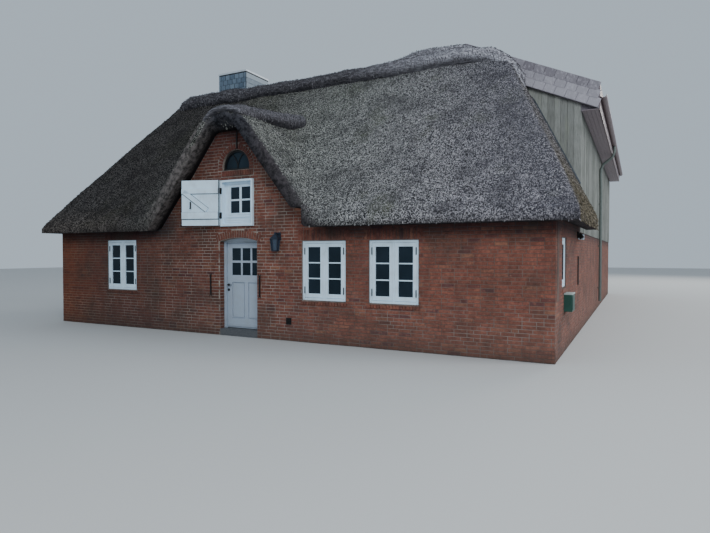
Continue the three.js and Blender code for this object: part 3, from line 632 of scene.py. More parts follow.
class Timber:
    """Bars, plates and turned pieces collected in one mesh, then given soft edges."""

    def __init__(self, bars=()):
        self.bm = bmesh.new()
        for bar in bars:
            self.bar(*bar)

    def bar(self, x0, x1, y0, y1, z0, z1):
        made = bmesh.ops.create_cube(self.bm, size=1.0)["verts"]
        centre = Vector(((x0 + x1) / 2, (y0 + y1) / 2, (z0 + z1) / 2))
        for v in made:
            v.co = Vector((v.co.x * (x1 - x0), v.co.y * (y1 - y0), v.co.z * (z1 - z0))) + centre
        return made

    def panel(self, box, y0, y1):
        """A bar that fills a rectangle (x0, x1, z0, z1)."""
        self.bar(*box[:2], y0, y1, *box[2:])

    def ring(self, outer, inner, y0, y1, foot=None):
        """Two uprights and two rails between an outer and an inner rectangle; foot is the lower rail's y0."""
        self.bar(outer[0], inner[0], y0, y1, *outer[2:])
        self.bar(inner[1], outer[1], y0, y1, *outer[2:])
        self.bar(*inner[:2], y0, y1, inner[3], outer[3])
        self.bar(*inner[:2], y0 if foot is None else foot, y1, outer[2], inner[2])

    def plate(self, points, y0, y1):
        """A flat piece of an [x, z] outline between two depths."""
        front = [self.bm.verts.new((x, y0, z)) for x, z in points]
        back = [self.bm.verts.new((x, y1, z)) for x, z in points]
        self.bm.faces.new(front)
        self.bm.faces.new(back[::-1])
        for i in range(len(points)):
            self.bm.faces.new((front[i], front[i - 1], back[i - 1], back[i]))

    def rod(self, start, end, radius, radius_end=None, sides=10):
        start, end = Vector(start), Vector(end)
        made = bmesh.ops.create_cone(self.bm, cap_ends=True, segments=sides, radius1=radius,
                                     radius2=radius if radius_end is None else radius_end,
                                     depth=(end - start).length)["verts"]
        turn = (end - start).to_track_quat("Z", "Y").to_matrix()
        bmesh.ops.rotate(self.bm, verts=made, cent=(0, 0, 0), matrix=turn)
        bmesh.ops.translate(self.bm, verts=made, vec=(start + end) / 2)

    def pin(self, x, y, z, reach, radius, sides=10):
        """An upright rod about a height."""
        self.rod((x, y, z - reach), (x, y, z + reach), radius, sides=sides)

    def ball(self, centre, radius):
        made = bmesh.ops.create_icosphere(self.bm, subdivisions=2, radius=radius)["verts"]
        bmesh.ops.translate(self.bm, verts=made, vec=centre)

    def finish(self, name, material, bevel=0.004, place=None, **kwargs):
        if bevel:
            sharp = [e for e in self.bm.edges if len(e.link_faces) == 2 and e.calc_face_angle() > 1.0]
            bmesh.ops.bevel(self.bm, geom=sharp, offset=bevel, segments=1, affect="EDGES", clamp_overlap=True)
        face_outwards(self.bm)
        if place is not None:
            self.bm.transform(place)
        mesh = bpy.data.meshes.new(name)
        self.bm.to_mesh(mesh)
        self.bm.free()
        keep_piece(mesh, name, material, **kwargs)


# Geometry Nodes trees


def node_tree(name, **inputs):
    """A tree with a geometry input and output and named inputs."""
    tree = bpy.data.node_groups.new(name, "GeometryNodeTree")
    for label, kind in {"Geometry": "Geometry", "Shape": "Object", "Finish": "Material", **inputs}.items():
        tree.interface.new_socket(label, in_out="INPUT", socket_type="NodeSocket" + kind)
    tree.interface.new_socket("Geometry", in_out="OUTPUT", socket_type="NodeSocketGeometry")
    return tree, tree.nodes.new("NodeGroupInput").outputs


def shape_of(tree, given):
    return add_node(tree, "GeometryNodeObjectInfo", {"Object": given["Shape"]}).outputs["Geometry"]


def end_tree(tree, given, instances):
    """Makes the instances real, gives them the finish and puts them out."""
    real = add_node(tree, "GeometryNodeRealizeInstances", {"Geometry": instances}).outputs["Geometry"]
    inputs = {"Geometry": real, "Material": given["Finish"]}
    dressed = add_node(tree, "GeometryNodeSetMaterial", inputs).outputs["Geometry"]
    add_node(tree, "NodeGroupOutput", {"Geometry": dressed})
    return tree


def laying_tree():
    """Lays a shape at every point, turned and sized by the point's own values."""
    tree, given = node_tree("Lay Pieces")
    turn, size = (add_node(tree, "GeometryNodeInputNamedAttribute", {"Name": label}, data_type="FLOAT_VECTOR")
                  .outputs["Attribute"] for label in ("turn", "size"))
    laid = add_node(tree, "GeometryNodeInstanceOnPoints", {
        "Points": given["Geometry"], "Instance": shape_of(tree, given), "Rotation": turn, "Scale": size})
    return end_tree(tree, given, laid.outputs["Instances"])


WANDER, STRAW_SIZES = (0.30, 0.30, 0.22), (0.6, 1.4)  # how far straws turn aside, and their range of sizes
TURN_SALT, WIDTH_SALT, LENGTH_SALT, TINT_SALT = 11, 23, 37, 51


def scattering_tree():
    """Scatters a shape over a surface, laid down the slope and lifted a little off it."""
    tree, given = node_tree("Scatter Ends", Density="Float", Seed="Int", Length="Float", Width="Float",
                            Lift="Float", Along="Vector")

    def vector(operation, inputs, output="Vector"):
        return add_node(tree, "ShaderNodeVectorMath", inputs, operation=operation).outputs[output]

    def chance(low, high, salt):
        """A number or a vector for each point, by a salt added to the seed."""
        kind, first, output = ("FLOAT", 2, 1) if isinstance(low, float) else ("FLOAT_VECTOR", 0, 0)
        seed = add_node(tree, "ShaderNodeMath", {0: given["Seed"], 1: salt}).outputs[0]
        inputs = {first: low, first + 1: high, "Seed": seed}
        return add_node(tree, "FunctionNodeRandomValue", inputs, data_type=kind).outputs[output]

    def sized(label, salt):
        inputs = {0: chance(*STRAW_SIZES, salt), 1: given[label]}
        return add_node(tree, "ShaderNodeMath", inputs, operation="MULTIPLY").outputs[0]

    spread = add_node(tree, "GeometryNodeDistributePointsOnFaces", {
        "Mesh": given["Geometry"], "Density": given["Density"], "Seed": given["Seed"]}).outputs
    normal, along = spread["Normal"], given["Along"]
    off = vector("SCALE", {0: normal, "Scale": vector("DOT_PRODUCT", {0: along, 1: normal}, "Value")})
    down = vector("NORMALIZE", {0: vector("SUBTRACT", {0: along, 1: off})})
    wander = chance(shade(WANDER, -1), WANDER, TURN_SALT)
    lift = vector("SCALE", {0: normal, "Scale": given["Lift"]})
    lifted = vector("ADD", {0: vector("ADD", {0: down, 1: wander}), 1: lift})
    turn = add_node(tree, "FunctionNodeAlignRotationToVector", {"Vector": lifted}, axis="Z").outputs["Rotation"]
    width = sized("Width", WIDTH_SALT)
    length = sized("Length", LENGTH_SALT)
    size = add_node(tree, "ShaderNodeCombineXYZ", {"X": width, "Y": width, "Z": length})
    laid = add_node(tree, "GeometryNodeInstanceOnPoints", {
        "Points": spread["Points"], "Instance": shape_of(tree, given), "Rotation": turn,
        "Scale": size.outputs["Vector"]})
    inputs = {"Name": "tint", "Geometry": laid.outputs["Instances"], "Value": chance(0.0, 1.0, TINT_SALT)}
    tint = add_node(tree, "GeometryNodeStoreNamedAttribute", inputs, data_type="FLOAT", domain="INSTANCE")
    return end_tree(tree, given, tint.outputs["Geometry"])


def run_tree(source, name, builder, shape, **values):
    """The plain mesh that a tree makes of a mesh and a shape. Inputs are set by their sockets' identifiers."""
    tree = bpy.data.node_groups.get(name) or builder()
    link = bpy.context.scene.collection.objects.link
    repeated, carrier = bpy.data.objects.new("shape", shape), bpy.data.objects.new("carrier", source)
    link(repeated)
    link(carrier)
    modifier = carrier.modifiers.new("Make", "NODES")
    modifier.node_group = tree
    values["Shape"] = repeated
    for item in tree.interface.items_tree:
        if item.in_out == "INPUT" and item.name in values:
            modifier[item.identifier] = values[item.name]
    depsgraph = bpy.context.evaluated_depsgraph_get()
    made = bpy.data.meshes.new_from_object(carrier.evaluated_get(depsgraph), depsgraph=depsgraph)
    bpy.data.objects.remove(carrier)
    bpy.data.objects.remove(repeated)
    return made


def chamfered_block():
    """A unit block whose -Y face is a little smaller than its body."""
    rings = [(0.5, 0.5, 0.5), (-0.25, 0.5, 0.5), (-0.5, 0.485, 0.44)]
    vertices = [(sx * x, y, sz * z) for y, x, z in rings for sx, sz in ((-1, -1), (1, -1), (1, 1), (-1, 1))]
    faces = [(0, 3, 2, 1), (8, 9, 10, 11)]
    for ring in (0, 4):
        for i in range(4):
            j = (i + 1) % 4
            faces.append((ring + i, ring + j, ring + 4 + j, ring + 4 + i))
    return rework(mesh_from(vertices, faces), face_outwards)


def reed_end():
    """A unit straw: a point in the thatch that widens to a cut end at +Z."""
    ends = [(math.cos(a) * 0.5, math.sin(a) * 0.5, 1.0) for a in (0.0, 2 * math.pi / 3, 4 * math.pi / 3)]
    return mesh_from([(0, 0, -1.0), *ends], [(0, 2, 1), (0, 3, 2), (0, 1, 3), (1, 2, 3)])


def lay(name, spots, material, place=None):
    """Lays chamfered blocks on a wall's elevation or in the house: each spot is (centre, size, turn, tint)."""
    centres, sizes, turns, tints = zip(*spots)
    mesh = mesh_from(centres, [])
    for label, kind, field, values in (("size", "FLOAT_VECTOR", "vector", sizes),
                                       ("turn", "FLOAT_VECTOR", "vector", turns), ("tint", "FLOAT", "value", tints)):
        layer = mesh.attributes.new(label, kind, "POINT")
        layer.data.foreach_set(field, np.array(values, np.float32).ravel())
    made = run_tree(mesh, "Lay Pieces", laying_tree, chamfered_block(), Finish=FINISHES[material])
    if place is not None:
        made.transform(place)
    keep_piece(made, name, material)


def scatter(name, source, keep, material, density, length, width, lift, seed, along=(0.0, 0.0, -1.0)):
    """Scatters straws over the faces of a piece that a test keeps, in the row frame."""
    def leave_kept(bm):
        bmesh.ops.delete(bm, geom=[f for f in bm.faces if not keep(f)], context="FACES")

    surface = rework(bpy.data.objects[source].data.copy(), leave_kept)
    made = run_tree(surface, "Scatter Ends", scattering_tree, reed_end(), Finish=FINISHES[material],
                    Density=float(density), Seed=seed, Length=length, Width=width, Lift=lift, Along=along)
    made.transform(Matrix.Translation(-ORIGIN))
    keep_piece(made, name, material)


# Thatch


RIDGE_FOLD, HIP_FOLD, CORNER_FOLD = 0.15, 0.1, 0.3  # radii of the soft folds between the planes
GABLE_FOLD, FLAT_FOLD, VALLEY_FOLD, BROW_FOLD = 0.35, 0.3, 0.4, 0.12
BROW_START, BROW_RUN = 0.09, 0.25  # the soffit behind the hood drops over this stretch behind the eave line
GABLE_SHORT, STEP_DEPTH = 0.3, 0.5  # how far the gable's soffit stops short of the ridge, and its step's depth


def soft_min(a, b, radius):
    """The lower of two heights, rounded over a radius where they meet."""
    h = np.clip(0.5 + 0.5 * (b - a) / radius, 0, 1)
    return b * (1 - h) + a * h - radius * h * (1 - h)


def soft_max(a, b, radius):
    """The higher of two heights, rounded where they meet."""
    return -soft_min(-a, -b, radius)


def slopes(x, y, sink=0.0):
    """Heights of the front, back, left and right planes, sunk by a thickness square to each."""
    runs = ((y - EAVE_FRONT, RISE_FRONT), (EAVE_BACK - y, RISE_FRONT), (x - EAVE_LEFT, RISE_LEFT),
            (EAVE_RIGHT - x, RISE_RIGHT))
    return [EAVE_TOP + run * rise - sink * math.hypot(1, rise) for run, rise in runs]


def gable_left(x, outline):
    """Height of the gable's left face, which climbs steeply on past its outline."""
    return np.interp(x, *zip(*outline)) + np.maximum(x, 0) * 2


def thatch_top(x, y):
    """Height of the thatch's upper surface over plan points."""
    front, back, left, right = slopes(x, y)
    main = soft_min(soft_min(front, back, RIDGE_FOLD), soft_min(left, right, HIP_FOLD), CORNER_FOLD)
    rise_right = GABLE_APEX + GABLE_THICK * math.hypot(1, GABLE_RISE_RIGHT) - (x - GABLE_X) * GABLE_RISE_RIGHT
    gable = soft_min(gable_left(x, GABLE_OUTER), rise_right, GABLE_FOLD)
    gable = soft_min(gable, np.full_like(x, GABLE_TOP), FLAT_FOLD)
    return np.where(y < RIDGE_Y, soft_max(main, gable, VALLEY_FOLD), main)


def thatch_under(x, y):
    """Height of the thatch's soffit, level under the eaves and A-shaped under the gable."""
    front, back, left, right = slopes(x, y, THATCH_THICK)
    main = np.minimum(np.minimum(front, back), np.minimum(left, right))
    gable = np.minimum(gable_left(x, GABLE_INNER), GABLE_APEX - (x - GABLE_X) * GABLE_RISE_RIGHT)
    brow = GABLE_HOOD - GABLE_BROW_DROP * np.clip((y - EAVE_FRONT - BROW_START) / BROW_RUN, 0, 1)
    gable = np.where(y < RIDGE_Y - GABLE_SHORT, soft_min(gable, brow, BROW_FOLD), 0.0)
    step = np.where((x > GABLE_X) & (x < GABLE_STEP_X) & (y < STEP_DEPTH), GABLE_STEP_Z, 0.0)
    return np.maximum(np.maximum(np.maximum(main, gable), step), EAVE_UNDER)


def thatch_height(x, y):
    """Height of the thatch over one point."""
    return float(thatch_top(np.array([x]), np.array([y]))[0])


def axis_points(stops):
    """Positions along an axis: each stop is (from, to, spacing)."""
    points = []
    for low, high, spacing in stops:
        count = max(1, round((high - low) / spacing))
        points.extend(low + (high - low) * i / count for i in range(count))
    points.append(stops[-1][1])
    return np.array(points)


COAT_REACH, COAT_LEFT_REACH = 0.39, 0.30  # from the walls to the cut edge
COAT_ROUND, COAT_LEAST = 0.07, 0.12  # radius of the upper edge and least thickness
RIM_WIDTH, STEP_EDGE = 0.1, 0.004  # finely divided strips at the rim and at the gable's step
WAVES, RIPPLES = (0.035, 0.9), (0.014, 6.0)  # height and scale of the unevenness
HOOD_HALF, HOOD_PUSH, HOOD_DEPTH = 1.7, 0.01, 0.5  # the coat over the hood stands a little further out
CUT_HALF, CUT_DEPTH = 2.3, 0.10  # where the gable's edge shows cut straw
SOFFIT_SHADE = (0.13, 0.17)  # the soffit is painted dark, as shade, from this far in and over this width
WING_GAP = 0.0006


def thatch_mesh(grid):
    """A closed coat of thatch over the hips, the slopes and the gable, left open where the wing joins."""
    low_x, high_x = HOUSE_LEFT - COAT_LEFT_REACH, HOUSE_RIGHT + COAT_REACH
    low_y, high_y = -COAT_REACH, HOUSE_BACK + COAT_REACH
    wing_x, wing_y = WING_LEFT - WING_GAP, WING_FRONT - WING_GAP
    stops_x = (low_x, low_x + RIM_WIDTH, HOUSE_LEFT + 1.25, GABLE_STEP_X - 0.9, GABLE_STEP_X - STEP_EDGE,
               GABLE_STEP_X + STEP_EDGE, HOUSE_RIGHT - 1.5, high_x - RIM_WIDTH, high_x)
    stops_y = (low_y, low_y + RIM_WIDTH, wing_y, high_y - RIM_WIDTH, high_y)
    xs, ys = (axis_points(list(zip(stops, stops[1:], spacings))) for stops, spacings in (
        (stops_x, (0.016, grid * 0.45, grid, grid, 0.008, grid, grid * 0.5, 0.016)),
        (stops_y, (0.02, grid * 0.72, grid * 0.8, 0.025))))
    wing_column, wing_row = int(np.argmin(abs(xs - wing_x))), int(np.argmin(abs(ys - wing_y)))
    xs[wing_column] = wing_x
    x, y = np.meshgrid(xs, ys, indexing="ij")
    edge = np.minimum(np.minimum(x - low_x, high_x - x), np.minimum(y - low_y, high_y - y))
    hood = np.exp(-((x - GABLE_X) / HOOD_HALF) ** 4)
    y = y - HOOD_PUSH * hood * np.clip(1 - (y - low_y) / HOOD_DEPTH, 0, 1)
    under = thatch_under(x, y)
    inner = np.clip(edge / COAT_ROUND, 0, 1)
    top = thatch_top(x, y) - COAT_ROUND * (1 - np.sqrt(np.clip(1 - (1 - inner) ** 2, 0, 1)))
    (wave_height, wave_scale), (ripple_height, ripple_scale) = WAVES, RIPPLES
    wave = np.vectorize(lambda px, py: noise.fractal(Vector((px, py, 0.0)), 1.0, 2.2, 4))
    ripple = np.vectorize(lambda px, py: noise.noise(Vector((px, py, 3.0))))
    top = (top + wave_height * wave(x * wave_scale, y * wave_scale)
           + ripple_height * ripple(x * ripple_scale, y * ripple_scale))
    top = np.maximum(top, under + COAT_LEAST)

    columns, rows = x.shape
    count = columns * rows
    used = np.ones((columns - 1, rows - 1), bool)
    used[wing_column:, wing_row:] = False
    padded = np.pad(used, 1)
    index = np.arange(count).reshape(columns, rows)
    faces = []
    for i, j in zip(*np.nonzero(used)):
        a, b, c, d = (int(index[p, q]) for p, q in ((i, j), (i + 1, j), (i + 1, j + 1), (i, j + 1)))
        faces.append((a, b, c, d))
        faces.append((a + count, d + count, c + count, b + count))
        for (p, q), (di, dj) in (((a, b), (0, -1)), ((b, c), (1, 0)), ((c, d), (0, 1)), ((d, a), (-1, 0))):
            if not padded[i + 1 + di, j + 1 + dj]:
                faces.append((q, p, p + count, q + count))
    vertices = np.concatenate([np.stack([x, y, z], -1).reshape(-1, 3) for z in (top, under)])
    mesh = mesh_from(vertices.tolist(), faces)
    cut = np.clip(1.2 - edge / CUT_DEPTH, 0, 1) * np.exp(-((x - GABLE_X) / CUT_HALF) ** 8) * (y < 1.0)
    rim = np.where(edge < 0.03, np.maximum(0.4, np.clip(cut * 2, 0, 1)), 1.0)
    # Weights of the painted shade on the soffit, which the under attribute carries
    soffit_shade = np.clip((edge - SOFFIT_SHADE[0]) / SOFFIT_SHADE[1], 0, 1)
    for label, above, below in (("cut", cut, rim), ("under", np.zeros(x.shape), soffit_shade)):
        values = np.concatenate([above.ravel(), below.ravel()]).astype(np.float32)
        mesh.attributes.new(label, "FLOAT", "POINT").data.foreach_set("value", values)

    def drop_loose(bm):
        bmesh.ops.delete(bm, geom=[v for v in bm.verts if not v.link_faces], context="VERTS")

    return rework(mesh, drop_loose)


class COTTAGE_OT_thatch(bpy.types.Operator):
    """Build the coat of thatch in place of the plain slopes"""

    bl_idname = "cottage.thatch"
    bl_label = "Thatch Coat"

    def execute(self, context):
        keep_piece(thatch_mesh(context.scene.cottage.thatch_grid), "thatch_coat", "thatch", smooth=True,
                   replaces=("thatch_front_left", "thatch_front_right", "thatch_gable", "thatch_left_hip",
                             "thatch_right_hip", "thatch_rear"))
        return {"FINISHED"}


REEDS_LEFT, REEDS_HIP = HOUSE_LEFT - 0.22, HOUSE_RIGHT - 0.6  # no reeds stand left of the first
REEDS_SPLIT, REEDS_CUT = 0.9, 2.1  # where the left pieces end, and half the width of the gable's cut edge


class COTTAGE_OT_reeds(bpy.types.Operator):
    """Scatter cut reed ends over the thatch"""

    bl_idname = "cottage.reeds"
    bl_label = "Reed Ends"

    def execute(self, context):
        density = context.scene.cottage.reeds
        left_edge, hip, split, gable = (ORIGIN.x + x for x in (REEDS_LEFT, REEDS_HIP, REEDS_SPLIT, GABLE_X))
        middle = ORIGIN.y + RIDGE_Y

        def quarter(front, right):
            """Tests for the outer faces of a quarter of the coat, without the gable's cut edge."""
            def keep(face):
                normal, centre = face.normal, face.calc_center_median()
                outside = normal.z > 0.22 or normal.y < -0.6 or (normal.x > 0.7 and centre.x > hip)
                cut = normal.y < -0.8 and abs(centre.x - gable) < REEDS_CUT
                return (outside and centre.x > left_edge and not cut and (centre.y < middle) == front
                        and (centre.x > split) == right)
            return keep

        for name, front, right, share, seed in (("reed_ends_front_left", True, False, 1.0, 23),
                                                ("reed_ends_front_right", True, True, 1.0, 24),
                                                ("reed_ends_rear_left", False, False, 0.45, 22),
                                                ("reed_ends_rear_right", False, True, 0.45, 23)):
            scatter(name, "thatch_coat", quarter(front, right), "reed", density * share, length=0.030, width=0.015,
                    lift=0.30, seed=seed)
        return {"FINISHED"}


# Heather rolls


END_STEPS, LEAST_SWELL = 5, 0.05  # rounds of an end, and its least width as a share
PATH_LUMPS, ROUND_LUMPS = 1.6, 1.2  # scales of the lumps along and around a roll


def swept_roll(path, radii, around, along, rough):
    """A lumpy roll with rounded ends; radii are (share of the path, radius)."""
    points = [Vector(p) for p in path]
    spans = len(points) - 1

    def position(t):
        s = min(max(t, 0.0), 1.0) * spans
        i = min(int(s), spans - 1)
        f = s - i
        p0, p1, p2, p3 = points[max(i - 1, 0)], points[i], points[i + 1], points[min(i + 2, spans)]
        return 0.5 * ((2 * p1) + (p2 - p0) * f + (2 * p0 - 5 * p1 + 4 * p2 - p3) * f * f
                      + (3 * p1 - p0 - 3 * p2 + p3) * f ** 3)

    vertices, low = [], []
    for i in range(along + 1):
        t = i / along
        centre = position(t)
        ahead = (position(min(t + 0.002, 1)) - position(max(t - 0.002, 0))).normalized()
        side = ahead.cross(Vector((0, 0, 1))).normalized()
        up = side.cross(ahead).normalized()
        end = min(t, 1 - t) * along / END_STEPS
        radius = float(np.interp(t, *zip(*radii)))
        swell = radius * max(LEAST_SWELL, math.sqrt(max(0.0, 1 - (1 - min(end, 1)) ** 2)))
        for j in range(around):
            angle = 2 * math.pi * j / around
            direction = side * math.cos(angle) + up * math.sin(angle)
            lump = 1 + rough * noise.fractal(centre * PATH_LUMPS + direction * ROUND_LUMPS, 1.0, 2.1, 5)
            vertices.append(centre + direction * swell * lump)
            # Weight of the painted shade on the roll's underside
            low.append(min(1.0, max(0.0, 0.25 - 1.6 * math.sin(angle))))
    faces = [(i + j, i + around + j, i + around + k, i + k) for i in range(0, along * around, around)
             for j, k in ((j, (j + 1) % around) for j in range(around))]
    faces += [tuple(range(around)), tuple(along * around + j for j in range(around))[::-1]]
    mesh = rework(mesh_from(vertices, faces), face_outwards)
    mesh.attributes.new("low", "FLOAT", "POINT").data.foreach_set("value", low)
    return mesh


# Each roll: name, finish, path, radii, points around and along, roughness, replaced nodes
ROLLS = (
    ("ridge_heather", "heather",
     ((-4.95, 3.3, 6.20), (-4.80, 3.3, 6.33), (-4.56, 3.3, 6.44), (-4.15, 3.3, 6.48), (-2.4, 3.3, 6.46),
      (0, 3.3, 6.45), (2.4, 3.3, 6.47), (3.6, 3.3, 6.52), (4.3, 3.3, 6.50), (4.8, 3.3, 6.38), (5.08, 3.26, 6.17),
      (5.25, 3.18, 5.92), (5.38, 3.05, 5.64), (5.50, 2.90, 5.36)),
     ((0, 0.10), (0.06, 0.18), (0.13, 0.245), (0.88, 0.245), (1, 0.095)), 34, 320, 0.18, ("ridge_roll",)),
    ("ridge_heather_back", "heather",
     ((0.7, 3.55, 6.28), (1.6, 3.64, 6.48), (2.5, 3.70, 6.68), (3.2, 3.74, 6.80), (3.95, 3.74, 6.74),
      (4.55, 3.70, 6.54), (5.0, 3.62, 6.26), (5.22, 3.52, 6.00)),
     ((0, 0.25), (1, 0.25)), 30, 120, 0.18, ()),
    ("gable_heather", "heather",
     ((-0.12, -0.24, 4.965), (-0.08, -0.05, 4.965), (-0.03, 0.4, 5.01), (0.06, 1.1, 5.04), (0.22, 1.6, 5.06),
      (0.44, 2.0, 5.12)),
     ((0, 0.09), (0.15, 0.16), (0.35, 0.20), (0.8, 0.21), (1, 0.15)), 26, 90, 0.18, ("gable_roll",)),
    ("gable_cap_heather", "heather",
     ((0.30, -0.28, 4.86), (0.10, -0.31, 4.955), (-0.12, -0.33, 4.99), (-0.38, -0.34, 4.955),
      (-0.56, -0.33, 4.86), (-0.68, -0.32, 4.74)),
     ((0, 0.085), (1, 0.085)), 20, 70, 0.18, ()),
    ("gable_rim", "thatch",
     ((-0.62, -0.34, 4.79), (-0.86, -0.34, 4.48), (-1.16, -0.32, 4.11), (-1.56, -0.30, 3.64),
      (-2.0, -0.28, 3.14), (-2.4, -0.26, 2.70)),
     ((0, 0.075), (1, 0.085)), 18, 90, 0.25, ()),
)


class COTTAGE_OT_heather(bpy.types.Operator):
    """Build the heather rolls on the ridge and the gable"""

    bl_idname = "cottage.heather"
    bl_label = "Heather Rolls"

    def execute(self, context):
        for name, finish, path, radii, around, along, rough, nodes in ROLLS:
            keep_piece(swept_roll(path, radii, around, along, rough), name, finish, smooth=True, replaces=nodes)
        for name, source, direction, seed in (("ridge_twigs", "ridge_heather", (0.35, 0.0, -1.0), 52),
                                              ("ridge_twigs_back", "ridge_heather_back", (0.35, 0.0, -1.0), 57),
                                              ("gable_twigs", "gable_heather", (0.0, -0.35, -1.0), 52)):
            scatter(name, source, lambda f: f.normal.z > -0.35, "twigs", density=700, length=0.05, width=0.012,
                    lift=0.25, seed=seed, along=direction)
        return {"FINISHED"}


# Brickwork


SOLDIERS, SILL = 3.3, 1.15  # heights of a window's trim in courses
BRICK_SINK, BRICK_JITTER = 0.012, 0.0012  # how deep a brick sits in the mortar, and how far its face may vary
HALF_BRICKS = 0.16  # share of half bricks in a course
LEAST_BRICK, LEAST_SPAN = 0.025, 0.02  # shorter cut bricks and stretches are left out
ARCH_SPREAD, ARCH_LAP = 1.16, 0.10  # the door's ring spans more than the opening's angle, and laps its sides


class Wall:
    """Courses of bricks on one flat wall, drawn as an elevation in u and z, around its openings."""

    def __init__(self, sizes, seed):
        self.module = sizes.brick_length + sizes.joint
        self.course = sizes.course
        self.joint = sizes.joint
        self.random = random.Random(seed)
        self.spots = []

    def brick(self, u, z, width, height, turn=0.0, proud=0.005):
        depth = proud + BRICK_SINK
        jitter = self.random.uniform(-BRICK_JITTER, BRICK_JITTER)
        size = (width, depth + abs(jitter), height)
        self.spots.append(((u, depth / 2 - proud + jitter, z), size, (0.0, turn, 0.0),
                           chance_tint(self.random, 0.23)))

    def fill(self, top, spans, low=WALL_FOOT):
        """Fills courses up to a height; spans(z) gives the stretches of u that are brick at that height."""
        for row in range(int((top - low) / self.course + 0.5)):
            z = low + row * self.course + self.course / 2
            for start, end in spans(z):
                self.run(start, end, z, row)

    def run(self, start, end, z, row):
        """One course between two ends, with a half brick now and then."""
        half_brick = self.module / 2
        u = start - (start % self.module) - (half_brick if row % 2 else 0.0)
        if row % 4 == 3:
            u += half_brick / 2
        while u < end:
            step = half_brick if self.random.random() < HALF_BRICKS else self.module
            low, high = max(u, start), min(u + step, end)
            width = high - low - self.joint
            if width > LEAST_BRICK:
                self.brick((low + high) / 2, z, width, self.course - self.joint)
            u += step

    def soldiers(self, low, high, z0, height, proud=0.007):
        """A row of bricks on end."""
        centres, step = divided(low, high, self.course)
        for u in centres:
            self.brick(u, z0 + height / 2, step - self.joint, height - self.joint, proud=proud)

    def arc(self, centre_u, centre_z, radius, depth, start, end, proud):
        """A ring of bricks on end about a centre, between two angles, with wider joints for the wedges."""
        reach = radius + depth / 2
        angles, step = divided(start, end, self.course / reach)
        for angle in angles:
            self.brick(centre_u + reach * math.cos(angle), centre_z + reach * math.sin(angle),
                       step * reach * 0.98 - self.joint * 1.25, depth - self.joint, math.pi / 2 - angle, proud)

    def trim(self, windows):
        """Soldier courses over the windows and rowlock sills under them."""
        lap, sill_lap, sill = 0.10, 0.03, SILL * self.course
        for low, high, bottom, top in windows:
            self.soldiers(low - lap, high + lap, top + 0.01, SOLDIERS * self.course)
            self.soldiers(low - sill_lap, high + sill_lap, bottom - sill - 0.02, sill, proud=0.022)

    def window_holes(self, windows, z):
        """The stretches that windows, their soldier courses and sills take at a height."""
        return [(low, high) for low, high, bottom, top in windows
                if bottom - SILL * self.course < z < top + SOLDIERS * self.course]


def cut_spans(start, end, holes):
    """The stretches of a line that holes leave over."""
    spans = [(start, end)]
    for low, high in holes:
        spans = [(a, b) for left, right in spans for a, b in ((left, min(right, low)), (max(left, high), right))
                 if b - a > LEAST_SPAN]
    return spans


def door_arch():
    """Radius and centre height of the arch over the door."""
    rise = DOOR_CROWN - DOOR_SPRING
    radius = (DOOR_HALF ** 2 + rise ** 2) / (2 * rise)
    return radius, DOOR_CROWN - radius


def gable_edges(z):
    """The stretch of brick that shows between the gable's thatch at a height."""
    if z < EAVE_UNDER:
        return HOUSE_LEFT, HOUSE_RIGHT
    xs, zs = zip(*GABLE_INNER)
    right = GABLE_STEP_X if z < GABLE_STEP_Z else GABLE_X + (GABLE_APEX - z) / GABLE_RISE_RIGHT
    return float(np.interp(z, zs, xs)), right


